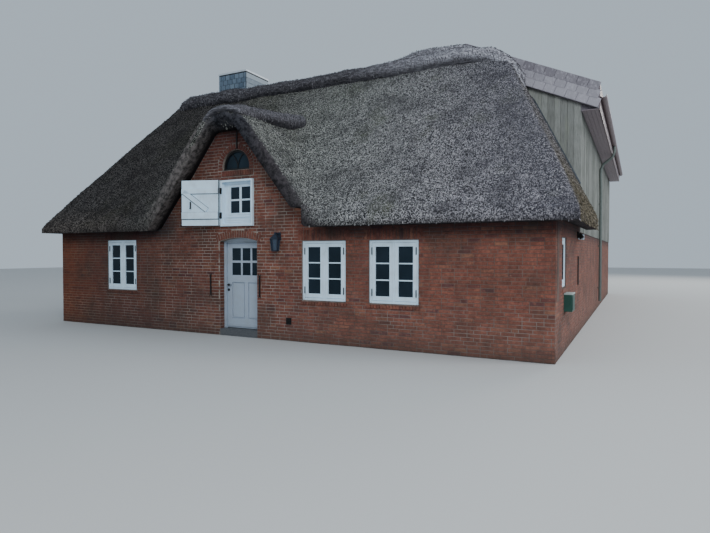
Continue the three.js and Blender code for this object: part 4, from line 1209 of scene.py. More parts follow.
class COTTAGE_OT_brickwork(bpy.types.Operator):
    """Lay the bricks of every wall, with arches, soldier courses and sills"""

    bl_idname = "cottage.brickwork"
    bl_label = "Brickwork"

    def execute(self, context):
        sizes = context.scene.cottage
        self.front(sizes)
        walls = (("right_end_bricks", RIGHT_END_WALL, 0.0, WING_FRONT, HIP_WALL_TOP, ("end_window",)),
                 ("wing_right_bricks", RIGHT_END_WALL, WING_FRONT, WING_BACK, BRICK_TOP, ()),
                 ("left_end_bricks", LEFT_END_WALL, -HOUSE_BACK, 0.0, HIP_WALL_TOP, ("left_end_window",)),
                 ("rear_bricks", REAR, -WING_LEFT, -HOUSE_LEFT, HIP_WALL_TOP, ("rear_window",)),
                 ("wing_left_bricks", WING_LEFT_WALL, -WING_BACK, -HOUSE_BACK, BRICK_TOP, ()),
                 ("wing_rear_bricks", WING_REAR, -HOUSE_RIGHT, -WING_LEFT, BRICK_TOP, ("wing_window",)))
        for seed, (name, side, start, end, top, nodes) in enumerate(walls, 100):
            wall = Wall(sizes, seed)
            windows = [opening(node, side[0]) for node in nodes]
            wall.fill(top, lambda z: cut_spans(start, end, wall.window_holes(windows, z)))
            wall.trim(windows)
            lay(name, wall.spots, "brick", turned(*side))
        return {"FINISHED"}

    def front(self, sizes):
        """The front wall with its gable, the arches over the door and the light, and the doorway's side."""
        wall = Wall(sizes, 7)
        windows = [opening(node) for node in FRONT_WINDOWS]
        radius, arch_z = door_arch()
        hatch_left, hatch_right, hatch_foot, hatch_head = opening("hatch_window")
        rowlock_low, rowlock_high = LUNETTE_BASE - 0.14, LUNETTE_BASE - 0.006
        gap = 0.005
        light_z, light_reach = LUNETTE_BASE + LUNETTE_STILT, LUNETTE_RADIUS + LUNETTE_RING + gap

        def spans(z):
            holes = wall.window_holes(windows, z)
            if z < DOOR_SPRING:
                holes.append((DOOR_X - DOOR_HALF, DOOR_X + DOOR_HALF))
            if DOOR_SPRING - 0.03 < z < DOOR_CROWN + DOOR_RING:
                outer = min(math.sqrt(max(0.0, (radius + DOOR_RING) ** 2 - (z - arch_z) ** 2)), DOOR_HALF + ARCH_LAP)
                holes.append((DOOR_X - outer, DOOR_X + outer))
            if hatch_foot < z < hatch_head + 0.01 or rowlock_low - 0.03 < z < rowlock_high:
                holes.append((hatch_left, hatch_right))
            if LUNETTE_BASE - gap < z < light_z + light_reach:
                half = math.sqrt(max(0.0, light_reach ** 2 - max(z - light_z, 0) ** 2))
                holes.append((LUNETTE_X - half, LUNETTE_X + half))
            return cut_spans(*gable_edges(z), holes)

        wall.fill(GABLE_HOOD - GABLE_BROW_DROP, spans)
        wall.trim(windows)
        wall.soldiers(hatch_left + 0.01, hatch_right - 0.01, rowlock_low, rowlock_high - rowlock_low, proud=0.015)
        half_angle = math.asin(DOOR_HALF / radius) * ARCH_SPREAD
        wall.arc(DOOR_X, arch_z, radius, DOOR_RING, math.pi / 2 - half_angle, math.pi / 2 + half_angle, proud=0.009)
        wall.arc(LUNETTE_X, light_z, LUNETTE_RADIUS, LUNETTE_RING, 0.0, math.pi, proud=0.012)
        for side in (-1, 1):
            wall.brick(LUNETTE_X + side * (LUNETTE_RADIUS + LUNETTE_RING / 2), LUNETTE_BASE + LUNETTE_STILT / 2,
                       LUNETTE_RING - wall.joint, LUNETTE_STILT - wall.joint, proud=0.012)
        lay("front_bricks", wall.spots, "brick")
        reveal = Wall(sizes, 8)
        reveal.fill(DOOR_SPRING - 0.02, lambda z: [(-0.003, DOOR_REVEAL)])
        lay("doorway_bricks", reveal.spots, "brick", turned(90, DOOR_X - DOOR_HALF))


# Wing: boards, roof and eaves


BOARD_TUCK, BOARD_CLEAR = 0.05, 0.015  # how far boards reach down over the bricks and stay clear of the roof
BOARD_INSET, BOARD_SINK = 0.004, 0.008  # the boards' own wall stands back this far; boards run this far into it
BOARD_PROUD, BOARD_RANGE, BOARD_LAP = 0.016, 0.006, 0.006  # least relief, its range, every other board's extra
BOARD_WIDTHS = (1.02, 0.94)  # of a plain and a lapping board, as shares of the step
WING_OVERHANG, SHINGLE_LENGTH, VERGE_WIDTH = 0.12, 0.23, 0.26
SHINGLE_SINK, SHINGLE_THICK, SHINGLE_TILT = 0.013, 0.020, 0.02
SHINGLE_LAP, SHINGLE_FILL, VERGE_FILL = 1.02, 0.965, 0.97  # how much of their step shingles fill
VERGE_THICK, VERGE_DROP = 0.016, 0.20
FASCIA_DOWN, FASCIA_UP = 0.03, 0.56
VERGE_ROWS = ((0.11, 0.012, 0.1), (0.29, 0.008, 0.55), (0.48, 0.004, 0.65))  # drop, distance off the face, tint


def wing_top(x):
    return WING_RIDGE - abs(x - WING_X) * WING_RISE


def down_roof(side, along, drop):
    """X and Z of a point under the wing's roof plane, by its distance down the slope from the ridge."""
    return (WING_X + side * along * math.cos(WING_PITCH), WING_RIDGE - along * math.sin(WING_PITCH) - drop)


class COTTAGE_OT_boards(bpy.types.Operator):
    """Nail the upright boards on the wing's walls"""

    bl_idname = "cottage.boards"
    bl_label = "Wing Boards"

    def execute(self, context):
        chance = random.Random(21)
        foot = BRICK_TOP - BOARD_TUCK

        def under_eave(u, step):
            return WING_SOFFIT - BOARD_CLEAR

        def under_roof(u, step):
            return min(wing_top(u - step / 2), wing_top(u + step / 2)) - WING_THICK - BOARD_CLEAR

        for name, side, start, end, top_of in (
                ("wing_gable_boarding", WING_GABLE, WING_LEFT, HOUSE_RIGHT, under_roof),
                ("wing_right_boarding", RIGHT_END_WALL, WING_FRONT, WING_BACK, under_eave),
                ("wing_left_boarding", WING_LEFT_WALL, -WING_BACK, -WING_FRONT, under_eave),
                ("wing_rear_boarding", WING_REAR, -HOUSE_RIGHT, -WING_LEFT, lambda u, s: under_roof(-u, s))):
            spots = []
            centres, step = divided(start, end, context.scene.cottage.board_width)
            for i, u in enumerate(centres):
                top = top_of(u, step)
                proud = BOARD_PROUD + chance.uniform(0.0, BOARD_RANGE)
                lap = i % 2
                spots.append(((u, BOARD_INSET - proud / 2 - BOARD_LAP * lap, (foot + top) / 2),
                              (step * BOARD_WIDTHS[lap], proud + BOARD_SINK, top - foot), (0.0, 0.0, 0.0),
                              chance_tint(chance, 0.28)))
            lay(name, spots, "boards", turned(*side))
        return {"FINISHED"}


class COTTAGE_OT_wing_roof(bpy.types.Operator):
    """Lay the wing's shingles, verge and eave boxes"""

    bl_idname = "cottage.wing_roof"
    bl_label = "Wing Roof"

    def execute(self, context):
        chance = random.Random(5)
        rows, length = divided(0.0, WING_SLOPE, SHINGLE_LENGTH)
        columns, width = divided(WING_FRONT - WING_OVERHANG, WING_BACK + WING_OVERHANG,
                                 context.scene.cottage.slate_width)
        spots = []
        for side in (-1, 1):
            for along in rows:
                x, z = down_roof(side, along, SHINGLE_SINK)
                for y in columns:
                    if not self.under_thatch(x, y, z):
                        spots.append(((x, y, z), (length * SHINGLE_LAP, width * SHINGLE_FILL, SHINGLE_THICK),
                                      (0.0, side * (WING_PITCH - SHINGLE_TILT), 0.0), chance.random()))
        lay("wing_shingles", spots, "shingle")
        self.verge(chance, "front_verge_shingles", WING_FRONT - WING_OVERHANG, 1)
        self.verge(chance, "rear_verge_shingles", WING_BACK + 0.10, -1)
        self.eaves()
        return {"FINISHED"}

    def under_thatch(self, x, y, z):
        return y < WING_FRONT + 0.6 and x < WING_LEFT + 0.2 and z < thatch_height(x, y) + 0.1

    def verge(self, chance, name, face, outward):
        """Three rows of shingles down the verge, the highest row the darkest."""
        spots = []
        centres, step = divided(0.0, WING_SLOPE, VERGE_WIDTH)
        for side in (-1, 1):
            for along in centres:
                for drop, lift, tint in VERGE_ROWS:
                    x, z = down_roof(side, along, drop)
                    if face > WING_FRONT or z >= thatch_height(x, face) + 0.06:
                        spots.append(((x, face - outward * lift, z), (step * VERGE_FILL, VERGE_THICK, VERGE_DROP),
                                      (0.0, side * WING_PITCH, 0.0), tint + chance.random() * 0.3))
        lay(name, spots, "shingle")

    def eaves(self):
        """Brown soffit boards and fascia under both eaves."""
        work, fascia = Timber(), Timber()
        z, end = WING_SOFFIT - 0.006, WING_BACK + 0.1
        for side, front in ((-1, HOUSE_BACK + 0.5), (1, WING_FRONT - 0.10)):
            low, high = sorted((WING_X + side * (WING_HALF - 0.012), WING_X + side * (WING_HALF - WING_EAVE + 0.03)))
            centres, step = divided(low, high, (high - low) / 4)
            for x in centres:
                work.bar(x - step / 2 + 0.002, x + step / 2 - 0.002, front, end, z - 0.012, z + 0.004)
            edge = sorted((WING_X + side * (WING_HALF - 0.005), WING_X + side * (WING_HALF + 0.012)))
            fascia.bar(*edge, front, end, z - FASCIA_DOWN, z + FASCIA_UP)
        work.finish("wing_eave_boards", "eave", 0.003)
        fascia.finish("wing_fascia", "gutter", 0.003)


# Chimney


SLATE_FOOT, SLATE_COURSE, SLATE_WIDTH = 4.95, 0.15, 0.17
SLATE_GAP, SLATE_THICK, SLATE_TILT, LEAST_SLATE = 0.020, 0.014, 0.05, 0.04
CAP_INSET, FLUE_HEIGHT, FLUE_RADIUS, FLUE_SETBACK = 0.001, 0.035, 0.12, 0.30


class COTTAGE_OT_chimney(bpy.types.Operator):
    """Hang slates on the chimney and add its cap trim and flue"""

    bl_idname = "cottage.chimney"
    bl_label = "Chimney"

    def execute(self, context):
        low, high = spot("chimney_stack")
        middle, spread = (low + high) / 2, high - low
        chance = random.Random(9)
        # The slates stop 0.03 below the cap, where the black stack shows as a painted shadow line
        rows, height = divided(SLATE_FOOT, high.z - 0.03, SLATE_COURSE)
        sides = ((middle.x, low.y, spread.x, 0), (high.x, middle.y, spread.y, 90), (low.x, middle.y, spread.y, -90),
                 (middle.x, high.y, spread.x, 180))
        for number, (x, y, width, turn) in enumerate(sides, 1):
            sheets = turn in (90, -90)
            columns = 1 if sheets else round(width / SLATE_WIDTH)
            step = width / columns
            spots = []
            for row, z in enumerate(rows):
                odd = row % 2 and not sheets
                for i in range(columns + odd):
                    left = -width / 2 + i * step - (step / 2 if odd else 0.0)
                    start, end = max(-width / 2, left), min(width / 2, left + step)
                    if end - start >= LEAST_SLATE:
                        size = (end - start - SLATE_GAP, SLATE_THICK, height * 0.93)
                        spots.append((((start + end) / 2, -0.008, z), size, (SLATE_TILT, 0.0, 0.0), chance.random()))
            lay(f"chimney_slates_{number}", spots, "siding" if sheets else "slate", turned(turn, x, y))
        cap_low, cap_high = spot("chimney_cap")
        top = cap_high.z - FLUE_HEIGHT
        cap = Timber([(cap_low.x + CAP_INSET, cap_high.x - CAP_INSET, cap_low.y + CAP_INSET, cap_high.y - CAP_INSET,
                       cap_low.z, top)])
        cap.finish("chimney_cap_sheet", "lead", 0.006, replaces=("chimney_cap",))
        flue = Timber()
        x, y = middle.x + 0.02, low.y + FLUE_SETBACK
        flue.rod((x, y, top - 0.01), (x, y, cap_high.z - 0.001), FLUE_RADIUS, sides=20)
        flue.finish("chimney_flue", "gutter", 0.002, slot="slate")
        return {"FINISHED"}


# Joinery


FIT = 0.001  # dressed frames stay this far inside their solids
HINGE_SHARES, BAR_SHARES = (0.14, 0.86), (1 / 3, 2 / 3)  # heights of hinges and of glazing bars
GLASS_THICK, GLASS_LAP = 0.006, 0.006


def casement_window(name, node, side=FRONT, two_leaves=True):
    """A white casement window: fixed frame, leaves with bars, glass and small dark hinges."""
    left, right, foot, head = opening(node, side[0])
    place = turned(*side) @ Matrix.Translation(((left + right) / 2, 0, foot))
    half, height = (right - left) / 2, head - foot
    rim, gap, front, back = 0.05, 0.004, 0.022, 0.098
    stile, rail, bar = 0.070, 0.072, 0.026
    work, glass, hinges = Timber(), Timber(), Timber()
    outline = (-half, half, 0.0, height)
    work.ring(grown(outline, -FIT), grown(outline, -rim), front, back, foot=front - 0.018 * two_leaves)
    reach, meeting = half - rim - gap, 0.022
    leaves = [(-reach, -meeting), (meeting, reach)] if two_leaves else [(-reach, reach)]
    if two_leaves:
        work.bar(-0.020, 0.020, front - 0.004, back, rim, height - rim)
    low, high = rim + gap, height - rim - gap
    leaf_front = front + 0.006
    glazed = 0.056 if two_leaves else 0.034
    for start, end in leaves:
        leaf = (start, end, low, high)
        sight = grown(leaf, -stile, -rail - 0.012, -rail)
        work.ring(leaf, sight, leaf_front, back - 0.015)
        for share in BAR_SHARES:
            z = low + rail + (high - low - 2 * rail) * share
            work.bar(*grown(sight, 0.004)[:2], leaf_front + 0.008, back - 0.03, z - bar / 2, z + bar / 2)
        glass.panel(grown(leaf, 0.01 - stile, -rail, 0.005 - rail), glazed, glazed + GLASS_THICK)
        for share in HINGE_SHARES:
            hinges.pin(start if start < 0 else end, front - 0.002, low + (high - low) * share, 0.07, 0.011)
    work.finish(name, "paint", place=place, replaces=(node,))
    glass.finish(name + "_glass", "glass" if two_leaves else "dim_glass", 0.0, place)
    hinges.finish(name + "_hinges", "iron", 0.0, place)


class COTTAGE_OT_windows(bpy.types.Operator):
    """Make the casement windows of the front, the ends and the rear"""

    bl_idname = "cottage.windows"
    bl_label = "Windows"

    def execute(self, context):
        for node in FRONT_WINDOWS:
            casement_window(node.replace("window", "casement"), node)
        casement_window("end_casement", "end_window", RIGHT_END_WALL, two_leaves=False)
        casement_window("left_end_casement", "left_end_window", LEFT_END_WALL)
        casement_window("rear_casement", "rear_window", REAR)
        casement_window("wing_casement", "wing_window", WING_REAR)
        self.lunette()
        return {"FINISHED"}

    def lunette(self):
        """The half-round light: dark rim, curved tracery and glass."""
        radius, lift, steps = LUNETTE_RADIUS - 0.004, LUNETTE_STILT, 22
        inner, front, back = radius - 0.04, 0.05, 0.115
        ring = [(math.cos(math.pi * i / steps), math.sin(math.pi * i / steps)) for i in range(steps + 1)]
        work = Timber()
        for a, b in zip(ring, ring[1:]):
            corners = ((a, inner), (b, inner), (b, radius), (a, radius))
            work.plate([(x * reach, z * reach + lift) for (x, z), reach in corners], front, back)
        for side in (-1, 1):
            work.bar(*sorted((side * radius, side * inner)), front, back, 0.04, lift)
        work.bar(-radius, radius, 0.045, back, 0.001, 0.042)
        sweep, rise, foot, bar_y = 0.36, 0.40, 0.04, 0.075
        for side in (-1, 1):
            arch = [(side * (sweep - sweep * math.cos(a)), bar_y, foot + rise * math.sin(a))
                    for a in (math.radians(d) for d in range(0, 76, 15))]
            for start, end in zip(arch, arch[1:]):
                work.rod(start, end, 0.012, sides=6)
        place = Matrix.Translation((LUNETTE_X, 0, LUNETTE_BASE))
        work.finish("lunette_tracery", "iron", 0.0, place, slot="dark_paint", replaces=("lunette_window",))
        glass = Timber()
        reach = radius - 0.02
        glass.plate([(-reach, 0.02), (reach, 0.02), *((x * reach, z * reach + lift) for x, z in ring)], 0.085,
                    0.085 + GLASS_THICK)
        glass.finish("lunette_glass", "glass", 0.0, place)


class COTTAGE_OT_door(bpy.types.Operator):
    """Make the panelled front door, its arched frame and its fittings"""

    bl_idname = "cottage.door"
    bl_label = "Front Door"

    def execute(self, context):
        self.frame()
        self.leaf()
        self.lever()
        return {"FINISHED"}

    def frame(self):
        """Jambs, head and the arched board above the leaf."""
        low, high = spot("door_frame")
        front, back = low.y, low.y + 0.10
        inner_left, inner_right, leaf_top, head = -0.518, 0.566, 2.101, DOOR_SPRING - 0.002
        work = Timber([(low.x + FIT, inner_left, front, back, SILL_TOP + FIT, head),
                       (inner_right, high.x - FIT, front, back, SILL_TOP + FIT, head),
                       (inner_left, inner_right, front, back, leaf_top, head)])
        radius, arch_z = door_arch()
        half = DOOR_HALF - 0.002
        half_angle = math.asin(half / radius)
        top = [(DOOR_X + radius * math.sin(a) * 0.998, arch_z + radius * math.cos(a) - 0.002)
               for a in (half_angle * (1 - i / 8) for i in range(17))]
        work.plate([(DOOR_X - half, DOOR_SPRING - 0.01), (DOOR_X + half, DOOR_SPRING - 0.01), *top], front, back)
        work.finish("door_frame_arched", "shaded_door_paint", 0.002, replaces=("door_frame",))

    def leaf(self):
        """Stiles, rails, two tall panels, glazing bars, weather bar and panes."""
        low, high = spot("door_leaf")
        front, back = low.y, low.y + 0.044
        stile, bar, muntin = 0.128, 0.046, 0.05
        panels, glazing = (0.374, 1.20), (1.362, 1.975)
        left, right = low.x, low.x + 1.072
        inner, outer = left + stile, right - stile
        middle = (left + right) / 2
        leaf = Timber([(left, inner, front, back, low.z, high.z), (outer, right, front, back, low.z, high.z)])
        for z0, z1 in ((low.z, panels[0]), (panels[1], glazing[0]), (glazing[1], high.z)):
            leaf.bar(inner, outer, front, back, z0, z1)
        leaf.bar(middle - muntin, middle + muntin, front, back, *panels)
        for start, end in ((inner, middle - muntin), (middle + muntin, outer)):
            field = (start, end, *panels)
            leaf.panel(field, front + 0.024, back - 0.008)
            leaf.panel(grown(field, -0.024, -0.026, -0.026), front + 0.009, back - 0.006)
        for share in BAR_SHARES:
            x = inner + (outer - inner) * share
            leaf.bar(x - bar / 2, x + bar / 2, front + 0.006, back - 0.006, *glazing)
        z = sum(glazing) / 2
        leaf.bar(inner, outer, front + 0.007, back - 0.007, z - 0.025, z + 0.025)
        leaf.bar(left + 0.02, right - 0.02, front - 0.014, front + 0.002, low.z + 0.03, low.z + 0.10)
        leaf.finish("door_leaf_panelled", "shaded_door_paint", 0.003, body="door", replaces=("door_leaf",))
        panes = Timber()
        panes.panel(grown((inner, outer, *glazing), GLASS_LAP), front + 0.019, front + 0.019 + GLASS_THICK)
        panes.finish("door_panes", "glass", 0.0, body="door", replaces=("door_glass",))

    def lever(self):
        """The black lever, its rose and the lock's rose below."""
        low, high = spot("door_handle")
        front = spot("door_leaf")[0].y
        x, y, z = low.x + 0.026, front - 0.045, (low.z + high.z) / 2
        handle = Timber()
        for height, size in ((z, 0.028), (z - 0.115, 0.032)):
            handle.rod((x, front - 0.008, height), (x, front, height), size, sides=24)
        handle.rod((x, y, z), (x, front, z), 0.009, sides=14)
        handle.rod((x, y, z), (x + 0.115, y, z - 0.004), 0.013, 0.009, sides=14)
        handle.ball((x, y, z), 0.014)
        handle.finish("door_lever", "iron", 0.0, body="door", replaces=("door_handle",), smooth=True)


class COTTAGE_OT_hatch(bpy.types.Operator):
    """Make the loft hatch: deep frame, small window, board and open shutter"""

    bl_idname = "cottage.hatch"
    bl_label = "Loft Hatch"

    def execute(self, context):
        low, high = HATCH_LOW, HATCH_HIGH
        edge, face, back, board_top = 0.045, 0.065, 0.115, 2.675
        outline = (low.x, high.x, low.z, high.z)
        left, right, foot, head = inner = grown(outline, -edge)
        work = Timber()
        work.ring(outline, inner, low.y, 0.119)
        centres, step = divided(foot, board_top, (board_top - foot) / 4)
        for z in centres:
            work.bar(left, right, face - 0.03, 0.08, z - step / 2 + 0.001, z + step / 2 - 0.001)
        work.bar(-0.365, right, face - 0.050, face - 0.028, board_top - 0.012, board_top + 0.010)
        pane = pane_left, pane_right, pane_low, pane_high = -0.305, 0.244, 2.766, 3.343
        work.ring((left, right, board_top, head), grown(pane, 0.06, 0.045), face, back)
        work.ring(grown(pane, 0.057, 0.042), pane, face + 0.006, 0.108)
        x, z = (pane_left + pane_right) / 2, (pane_low + pane_high) / 2
        work.bar(x - 0.03, x + 0.03, face + 0.010, 0.102, pane_low, pane_high)
        work.bar(pane_left, pane_right, face + 0.011, 0.101, z - 0.02, z + 0.02)
        work.finish("hatch_joinery", "paint", replaces=("hatch_window",))
        glass = Timber()
        glass.panel(grown(pane, GLASS_LAP), 0.086, 0.086 + GLASS_THICK)
        glass.finish("hatch_glass", "glass", 0.0)
        self.shutter(low)
        return {"FINISHED"}

    def shutter(self, hatch):
        """Ledged and braced shutter, drawn closed along -X from its hinge and then turned open, with black strips of
        painted shadow.
        """
        width, bottom, top, thick = 0.905, 2.485, 3.505, 0.034
        lift, back, groove = -thick - 0.032, -thick + 0.001, 0.0006
        hinge_heights = (2.71, top - 0.245)
        ledge_left, ledge_right, ledges = -width + 0.01, -0.03, ((2.635, 2.785), (top - 0.30, top - 0.19))
        hook_x, hook_z = -width + 0.225, 2.87
        place = turned(18, hatch.x - 0.0001, hatch.y - 0.0003)
        work = Timber()
        centres, step = divided(-width, 0.0, width / 6)
        for x in centres:
            work.bar(x - step / 2 + groove, x + step / 2 - groove, -thick, -0.012, bottom, top)
        for ledge in ledges:
            work.bar(ledge_left, ledge_right, lift, back, *ledge)
        start, end = Vector((-0.845, 3.25)), Vector((-0.285, 2.83))
        along = (end - start).normalized()
        square = Vector((-along.y, along.x))
        across = square * 0.05
        work.plate([start + across, start - across, end - across, end + across], lift, back)
        work.finish("shutter_boards", "paint", 0.003, place, replaces=("hatch_shutter",))
        # The hook, and a black bar at the hinge side as painted shadow of the gap
        iron = Timber([(hook_x - 0.01, hook_x + 0.01, lift - 0.012, lift + 0.02, hook_z - 0.01, hook_z + 0.15),
                       (-0.024, -0.004, -thick - 0.003, -0.010, bottom + 0.002, top - 0.002)])
        iron.rod((hook_x, lift - 0.03, hook_z), (hook_x, lift - 0.005, hook_z), 0.012)
        for z in hinge_heights:
            iron.pin(-0.004, -thick - 0.012, z, 0.06, 0.011)
        # Black strips under the ledges and along the brace: painted shadow
        shadow = -thick - 0.004, -thick + 0.002
        for x, z, reach in ((-0.73, top - 0.303, 0.009), (ledge_left, 2.630, 0.010), (ledge_left, 2.787, 0.003)):
            iron.bar(x, ledge_right, *shadow, z - reach, z + reach)
        for side, reach in ((-1.16, 0.011), (1.12, 0.003)):
            corners = ((start, -reach), (end, -reach), (end, reach), (start, reach))
            iron.plate([point + across * side + square * lip for point, lip in corners], *shadow)
        iron.finish("shutter_iron", "iron", 0.0, place)
        straps = Timber([(hatch.x - 0.006, hatch.x + 0.055, hatch.y - 0.006, hatch.y + 0.001, z - 0.07, z + 0.07)
                         for z in hinge_heights])
        straps.finish("hatch_straps", "iron", 0.0)


# Fittings


class COTTAGE_OT_fittings(bpy.types.Operator):
    """Add the lantern, wall anchors, vent, meter box, flashing and pipe clips"""

    bl_idname = "cottage.fittings"
    bl_label = "Fittings"

    def execute(self, context):
        self.lantern()
        self.anchors()
        self.vent()
        self.meter()
        self.corner()
        self.flashing()
        self.clips()
        return {"FINISHED"}

    def lantern(self):
        """Six-sided lantern on a bracket."""
        low, high = spot("wall_lantern")
        x, y = (low.x + high.x) / 2, low.y + 0.13
        tray, roof = low.z + 0.022, high.z - 0.15
        body = Timber([(x - 0.055, x + 0.055, -0.020, -0.001, high.z - 0.16, high.z - 0.005)])
        body.rod((x, -0.01, high.z - 0.045), (x, y, high.z - 0.02), 0.014)
        body.rod((x, y, high.z - 0.06), (x, y, high.z - 0.008), 0.020)
        body.rod((x, y, roof), (x, y, high.z - 0.05), 0.125, 0.030, sides=6)
        body.rod((x, y, low.z), (x, y, tray), 0.070, 0.080, sides=6)
        for i in range(6):
            angle = math.pi / 3 * i + math.pi / 6
            foot, head = ((x + reach * math.cos(angle), y + reach * math.sin(angle), z)
                          for reach, z in ((0.074, tray - 0.007), (0.104, roof + 0.005)))
            body.rod(foot, head, 0.008, sides=6)
        body.finish("lantern_iron", "lantern", 0.0, replaces=("wall_lantern",))
        glass = Timber()
        glass.rod((x, y, tray), (x, y, roof + 0.003), 0.066, 0.096, sides=6)
        glass.finish("lantern_glass", "lantern_glass", 0.0)

    def anchors(self):
        """Wrought bars with forked ends that hold the floor beams to the wall."""
        end_x = HOUSE_RIGHT + 0.018
        iron = Timber([(end_x - 0.014, end_x + 0.012, 3.62, 3.65, 1.15, 1.79)])
        for x, bottom, top in ((-0.05, 4.21, 4.53), (0.56, 0.93, 1.35), (-0.83, 0.93, 1.35)):
            iron.bar(x - 0.012, x + 0.012, -0.03, -0.004, bottom, top)
            for z, up in ((bottom, -1), (top, 1)):
                for side in (-1, 1):
                    iron.rod((x, -0.018, z), (x + side * 0.035, -0.018, z + up * 0.05), 0.009, 0.006, sides=6)
        iron.finish("wall_anchors", "iron", 0.0)

    def vent(self):
        """Small louvred vent low in the front wall."""
        left, right, foot, head, rim, pitch = 1.25, 1.38, 0.35, 0.49, 0.01, 0.028
        vent = Timber([(left, right, -0.016, -0.001, foot, head)])
        for i in range(4):
            z = foot + 0.02 + i * pitch
            slat = vent.bar(left + rim, right - rim, -0.022, -0.014, z, z + pitch / 2)
            bmesh.ops.rotate(vent.bm, verts=slat, cent=(left, -0.016, z), matrix=Matrix.Rotation(0.35, 3, "X"))
        vent.finish("wall_vent", "iron", 0.001)

    def meter(self):
        """Meter box with a raised door and a lid."""
        low, high = spot("meter_box")
        box = Timber([(low.x, high.x, low.y, high.y, low.z, high.z - 0.02),
                      (high.x, high.x + 0.006, low.y + 0.03, high.y - 0.03, low.z + 0.03, high.z - 0.05)])
        box.finish("meter_cabinet", "meter", 0.012, replaces=("meter_box",))
        lid = Timber([(low.x, high.x + 0.008, low.y - 0.006, high.y + 0.006, high.z - 0.03, high.z)])
        lid.finish("meter_lid", "meter_lid", 0.008)

    def corner(self):
        """Pale strip at the front corner of the end wall, and the board and lamp under the hip's eave."""
        face = HOUSE_RIGHT + 0.004
        Timber([(face, face + 0.010, 0.10, 0.33, 1.05, 2.40)]).finish("corner_strip", "mortar", 0.003)
        Timber([(face, face + 0.116, 3.74, 3.86, 2.17, 2.29)]).finish("side_board", "paint", 0.004)
        lamp = Timber([(face, face + 0.046, 3.42, 3.52, 2.20, 2.34)])
        lamp.rod((face + 0.046, 3.47, 2.30), (face + 0.106, 3.47, 2.19), 0.035, 0.055, sides=12)
        lamp.finish("side_lamp", "iron", 0.003)

    def flashing(self):
        """A dark strip where the hip's thatch meets the boards."""
        work = Timber()
        start, y, steps = 5.2, WING_FRONT - 0.03, 24
        edge = [(x, y, thatch_height(x, y) + 0.03)
                for x in (start + (HOUSE_RIGHT - start) * i / steps for i in range(steps + 1))]
        for a, b in zip(edge, edge[1:]):
            work.rod(a, b, 0.028, sides=6)
        work.finish("thatch_flashing", "flashing", 0.0)

    def clips(self):
        """Clips that hold the downpipe to the wall."""
        low, high = spot("wing_downpipe")
        x, y = low.x + 0.045, (low.y + high.y) / 2
        work = Timber()
        for z in (0.7, 2.1, 3.5, 4.6):
            work.pin(x, y, z, 0.02, 0.052, sides=16)
            work.bar(HOUSE_RIGHT, x, y - 0.012, y + 0.012, z - 0.012, z + 0.012)
        work.finish("pipe_clips", "pipe", 0.0)


# Plain pieces that keep their solids


NODE_FINISHES = {
    "mortar": ("front_wall_left", "front_wall_right", "front_gable", "left_end_wall", "right_end_wall", "rear_wall",
               "wing_right_wall", "wing_left_wall", "wing_rear_wall"),
    "boards": ("wing_front_boards", "wing_right_boards", "wing_left_boards", "wing_rear_boards"),
    "shingle": ("wing_roof_right", "wing_roof_left", "wing_front_verge", "wing_rear_verge"),
    "gutter": ("wing_gutter_right", "wing_gutter_left"),
    "pipe": ("wing_downpipe",),
    # The black stack shows as dark joints between the slates and as painted shadow under the cap
    "iron": ("chimney_stack",),
    "lead": ("chimney_cap",),
    "floor": ("ground_floor", "loft_floor"),
    "stone": ("door_sill",),
}


class COTTAGE_OT_plain_pieces(bpy.types.Operator):
    """Give the walls, floors and other plain solids their finishes"""

    bl_idname = "cottage.plain_pieces"
    bl_label = "Plain Pieces"

    def execute(self, context):
        for finish, nodes in NODE_FINISHES.items():
            for node in nodes:
                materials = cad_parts[node].data.materials
                materials.clear()
                materials.append(FINISHES[finish])
        return {"FINISHED"}


# Stage


IMAGE_WIDTH, SENSOR_WIDTH, FOCAL_PIXELS = 710.0, 36.0, 546.0
CAMERA_PLACE, CAMERA_TILT, CAMERA_TURN = Vector((7.874, -9.61, 1.862)), -1.4, 27.4
# Each light: name, place, size, power, colour
LIGHTS = (("key", (13, -23, 13), 10, 2300, (0.93, 0.97, 1.0)),
          ("right", (30, 0, 15), 12, 3350, (0.95, 0.97, 1.0)),
          ("back", (12, 26, 17), 12, 3000, (1.0, 0.98, 0.94)))
AIM = Vector((0, 0, 2))
FLOOR_REACH, FLOOR_Z = 60.0, -0.004
SKY_COLOUR, SKY_STRENGTH = (0.74, 0.87, 1.0, 1), 0.62


def stand(name, data, place):
    """Puts something on the stage."""
    item = bpy.data.objects.new(name, data)
    bpy.context.scene.collection.objects.link(item)
    item.location = place
    return item


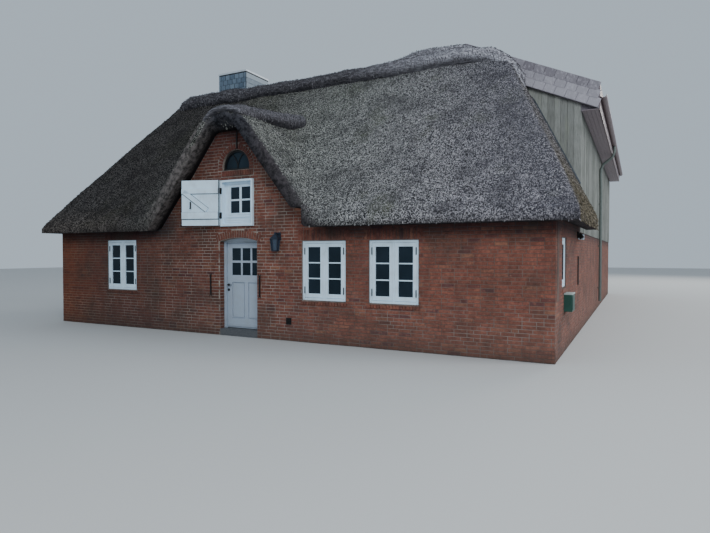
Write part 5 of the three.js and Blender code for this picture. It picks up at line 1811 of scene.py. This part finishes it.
class COTTAGE_OT_stage(bpy.types.Operator):
    """Set up the floor, the soft lights and the camera"""

    bl_idname = "cottage.stage"
    bl_label = "Stage"

    def execute(self, context):
        corners = [(x * FLOOR_REACH, y * FLOOR_REACH, FLOOR_Z) for x, y in ((-1, -1), (1, -1), (1, 1), (-1, 1))]
        mesh = mesh_from(corners, [(0, 1, 2, 3)])
        mesh.materials.append(Finish("stage_grey", (0.55, 0.55, 0.54)).done(0.9))
        stand("stage_floor", mesh, (0, 0, 0))
        world = bpy.data.worlds.new("soft_sky")
        world.use_nodes = True
        background = world.node_tree.nodes["Background"].inputs
        background["Color"].default_value = SKY_COLOUR
        background["Strength"].default_value = SKY_STRENGTH
        context.scene.world = world
        for name, place, size, power, colour in LIGHTS:
            lamp = bpy.data.lights.new(name, "AREA")
            lamp.size, lamp.energy, lamp.color = size, power, colour
            towards = AIM - Vector(place)
            stand(name, lamp, place).rotation_euler = towards.to_track_quat("-Z", "Y").to_euler()
        camera = bpy.data.cameras.new("camera")
        camera.sensor_width = SENSOR_WIDTH
        camera.lens = FOCAL_PIXELS * SENSOR_WIDTH / IMAGE_WIDTH
        camera.clip_end = 300
        view = stand("camera", camera, CAMERA_PLACE + ORIGIN)
        view.rotation_euler = Euler((math.radians(90 + CAMERA_TILT), 0, math.radians(CAMERA_TURN)))
        context.scene.camera = view
        return {"FINISHED"}


OPERATORS = (COTTAGE_OT_stage, COTTAGE_OT_plain_pieces, COTTAGE_OT_thatch, COTTAGE_OT_reeds, COTTAGE_OT_heather,
             COTTAGE_OT_brickwork, COTTAGE_OT_boards, COTTAGE_OT_wing_roof, COTTAGE_OT_chimney, COTTAGE_OT_windows,
             COTTAGE_OT_door, COTTAGE_OT_hatch, COTTAGE_OT_fittings)


class COTTAGE_PT_panel(bpy.types.Panel):
    """Lists the steps that finish the cottage"""

    bl_label = "Cottage"
    bl_idname = "COTTAGE_PT_panel"
    bl_space_type = "VIEW_3D"
    bl_region_type = "UI"
    bl_category = "Cottage"

    def draw(self, context):
        for operator in OPERATORS:
            self.layout.operator(operator.bl_idname)


CLASSES = (CottageSizes, CottageColours, *OPERATORS, COTTAGE_PT_panel)


def register():
    for item in CLASSES:
        bpy.utils.register_class(item)
    bpy.types.Scene.cottage = bpy.props.PointerProperty(type=CottageSizes)
    bpy.types.Scene.cottage_colours = bpy.props.PointerProperty(type=CottageColours)


def unregister():
    del bpy.types.Scene.cottage
    del bpy.types.Scene.cottage_colours
    for item in reversed(CLASSES):
        bpy.utils.unregister_class(item)


def write_sizes():
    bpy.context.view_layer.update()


def main():
    register()
    FINISHES.update(make_finishes(bpy.context.scene.cottage_colours))
    for operator in OPERATORS:
        group, name = operator.bl_idname.split(".")
        getattr(getattr(bpy.ops, group), name)()
    write_sizes()


if __name__ == "__main__":
    main()
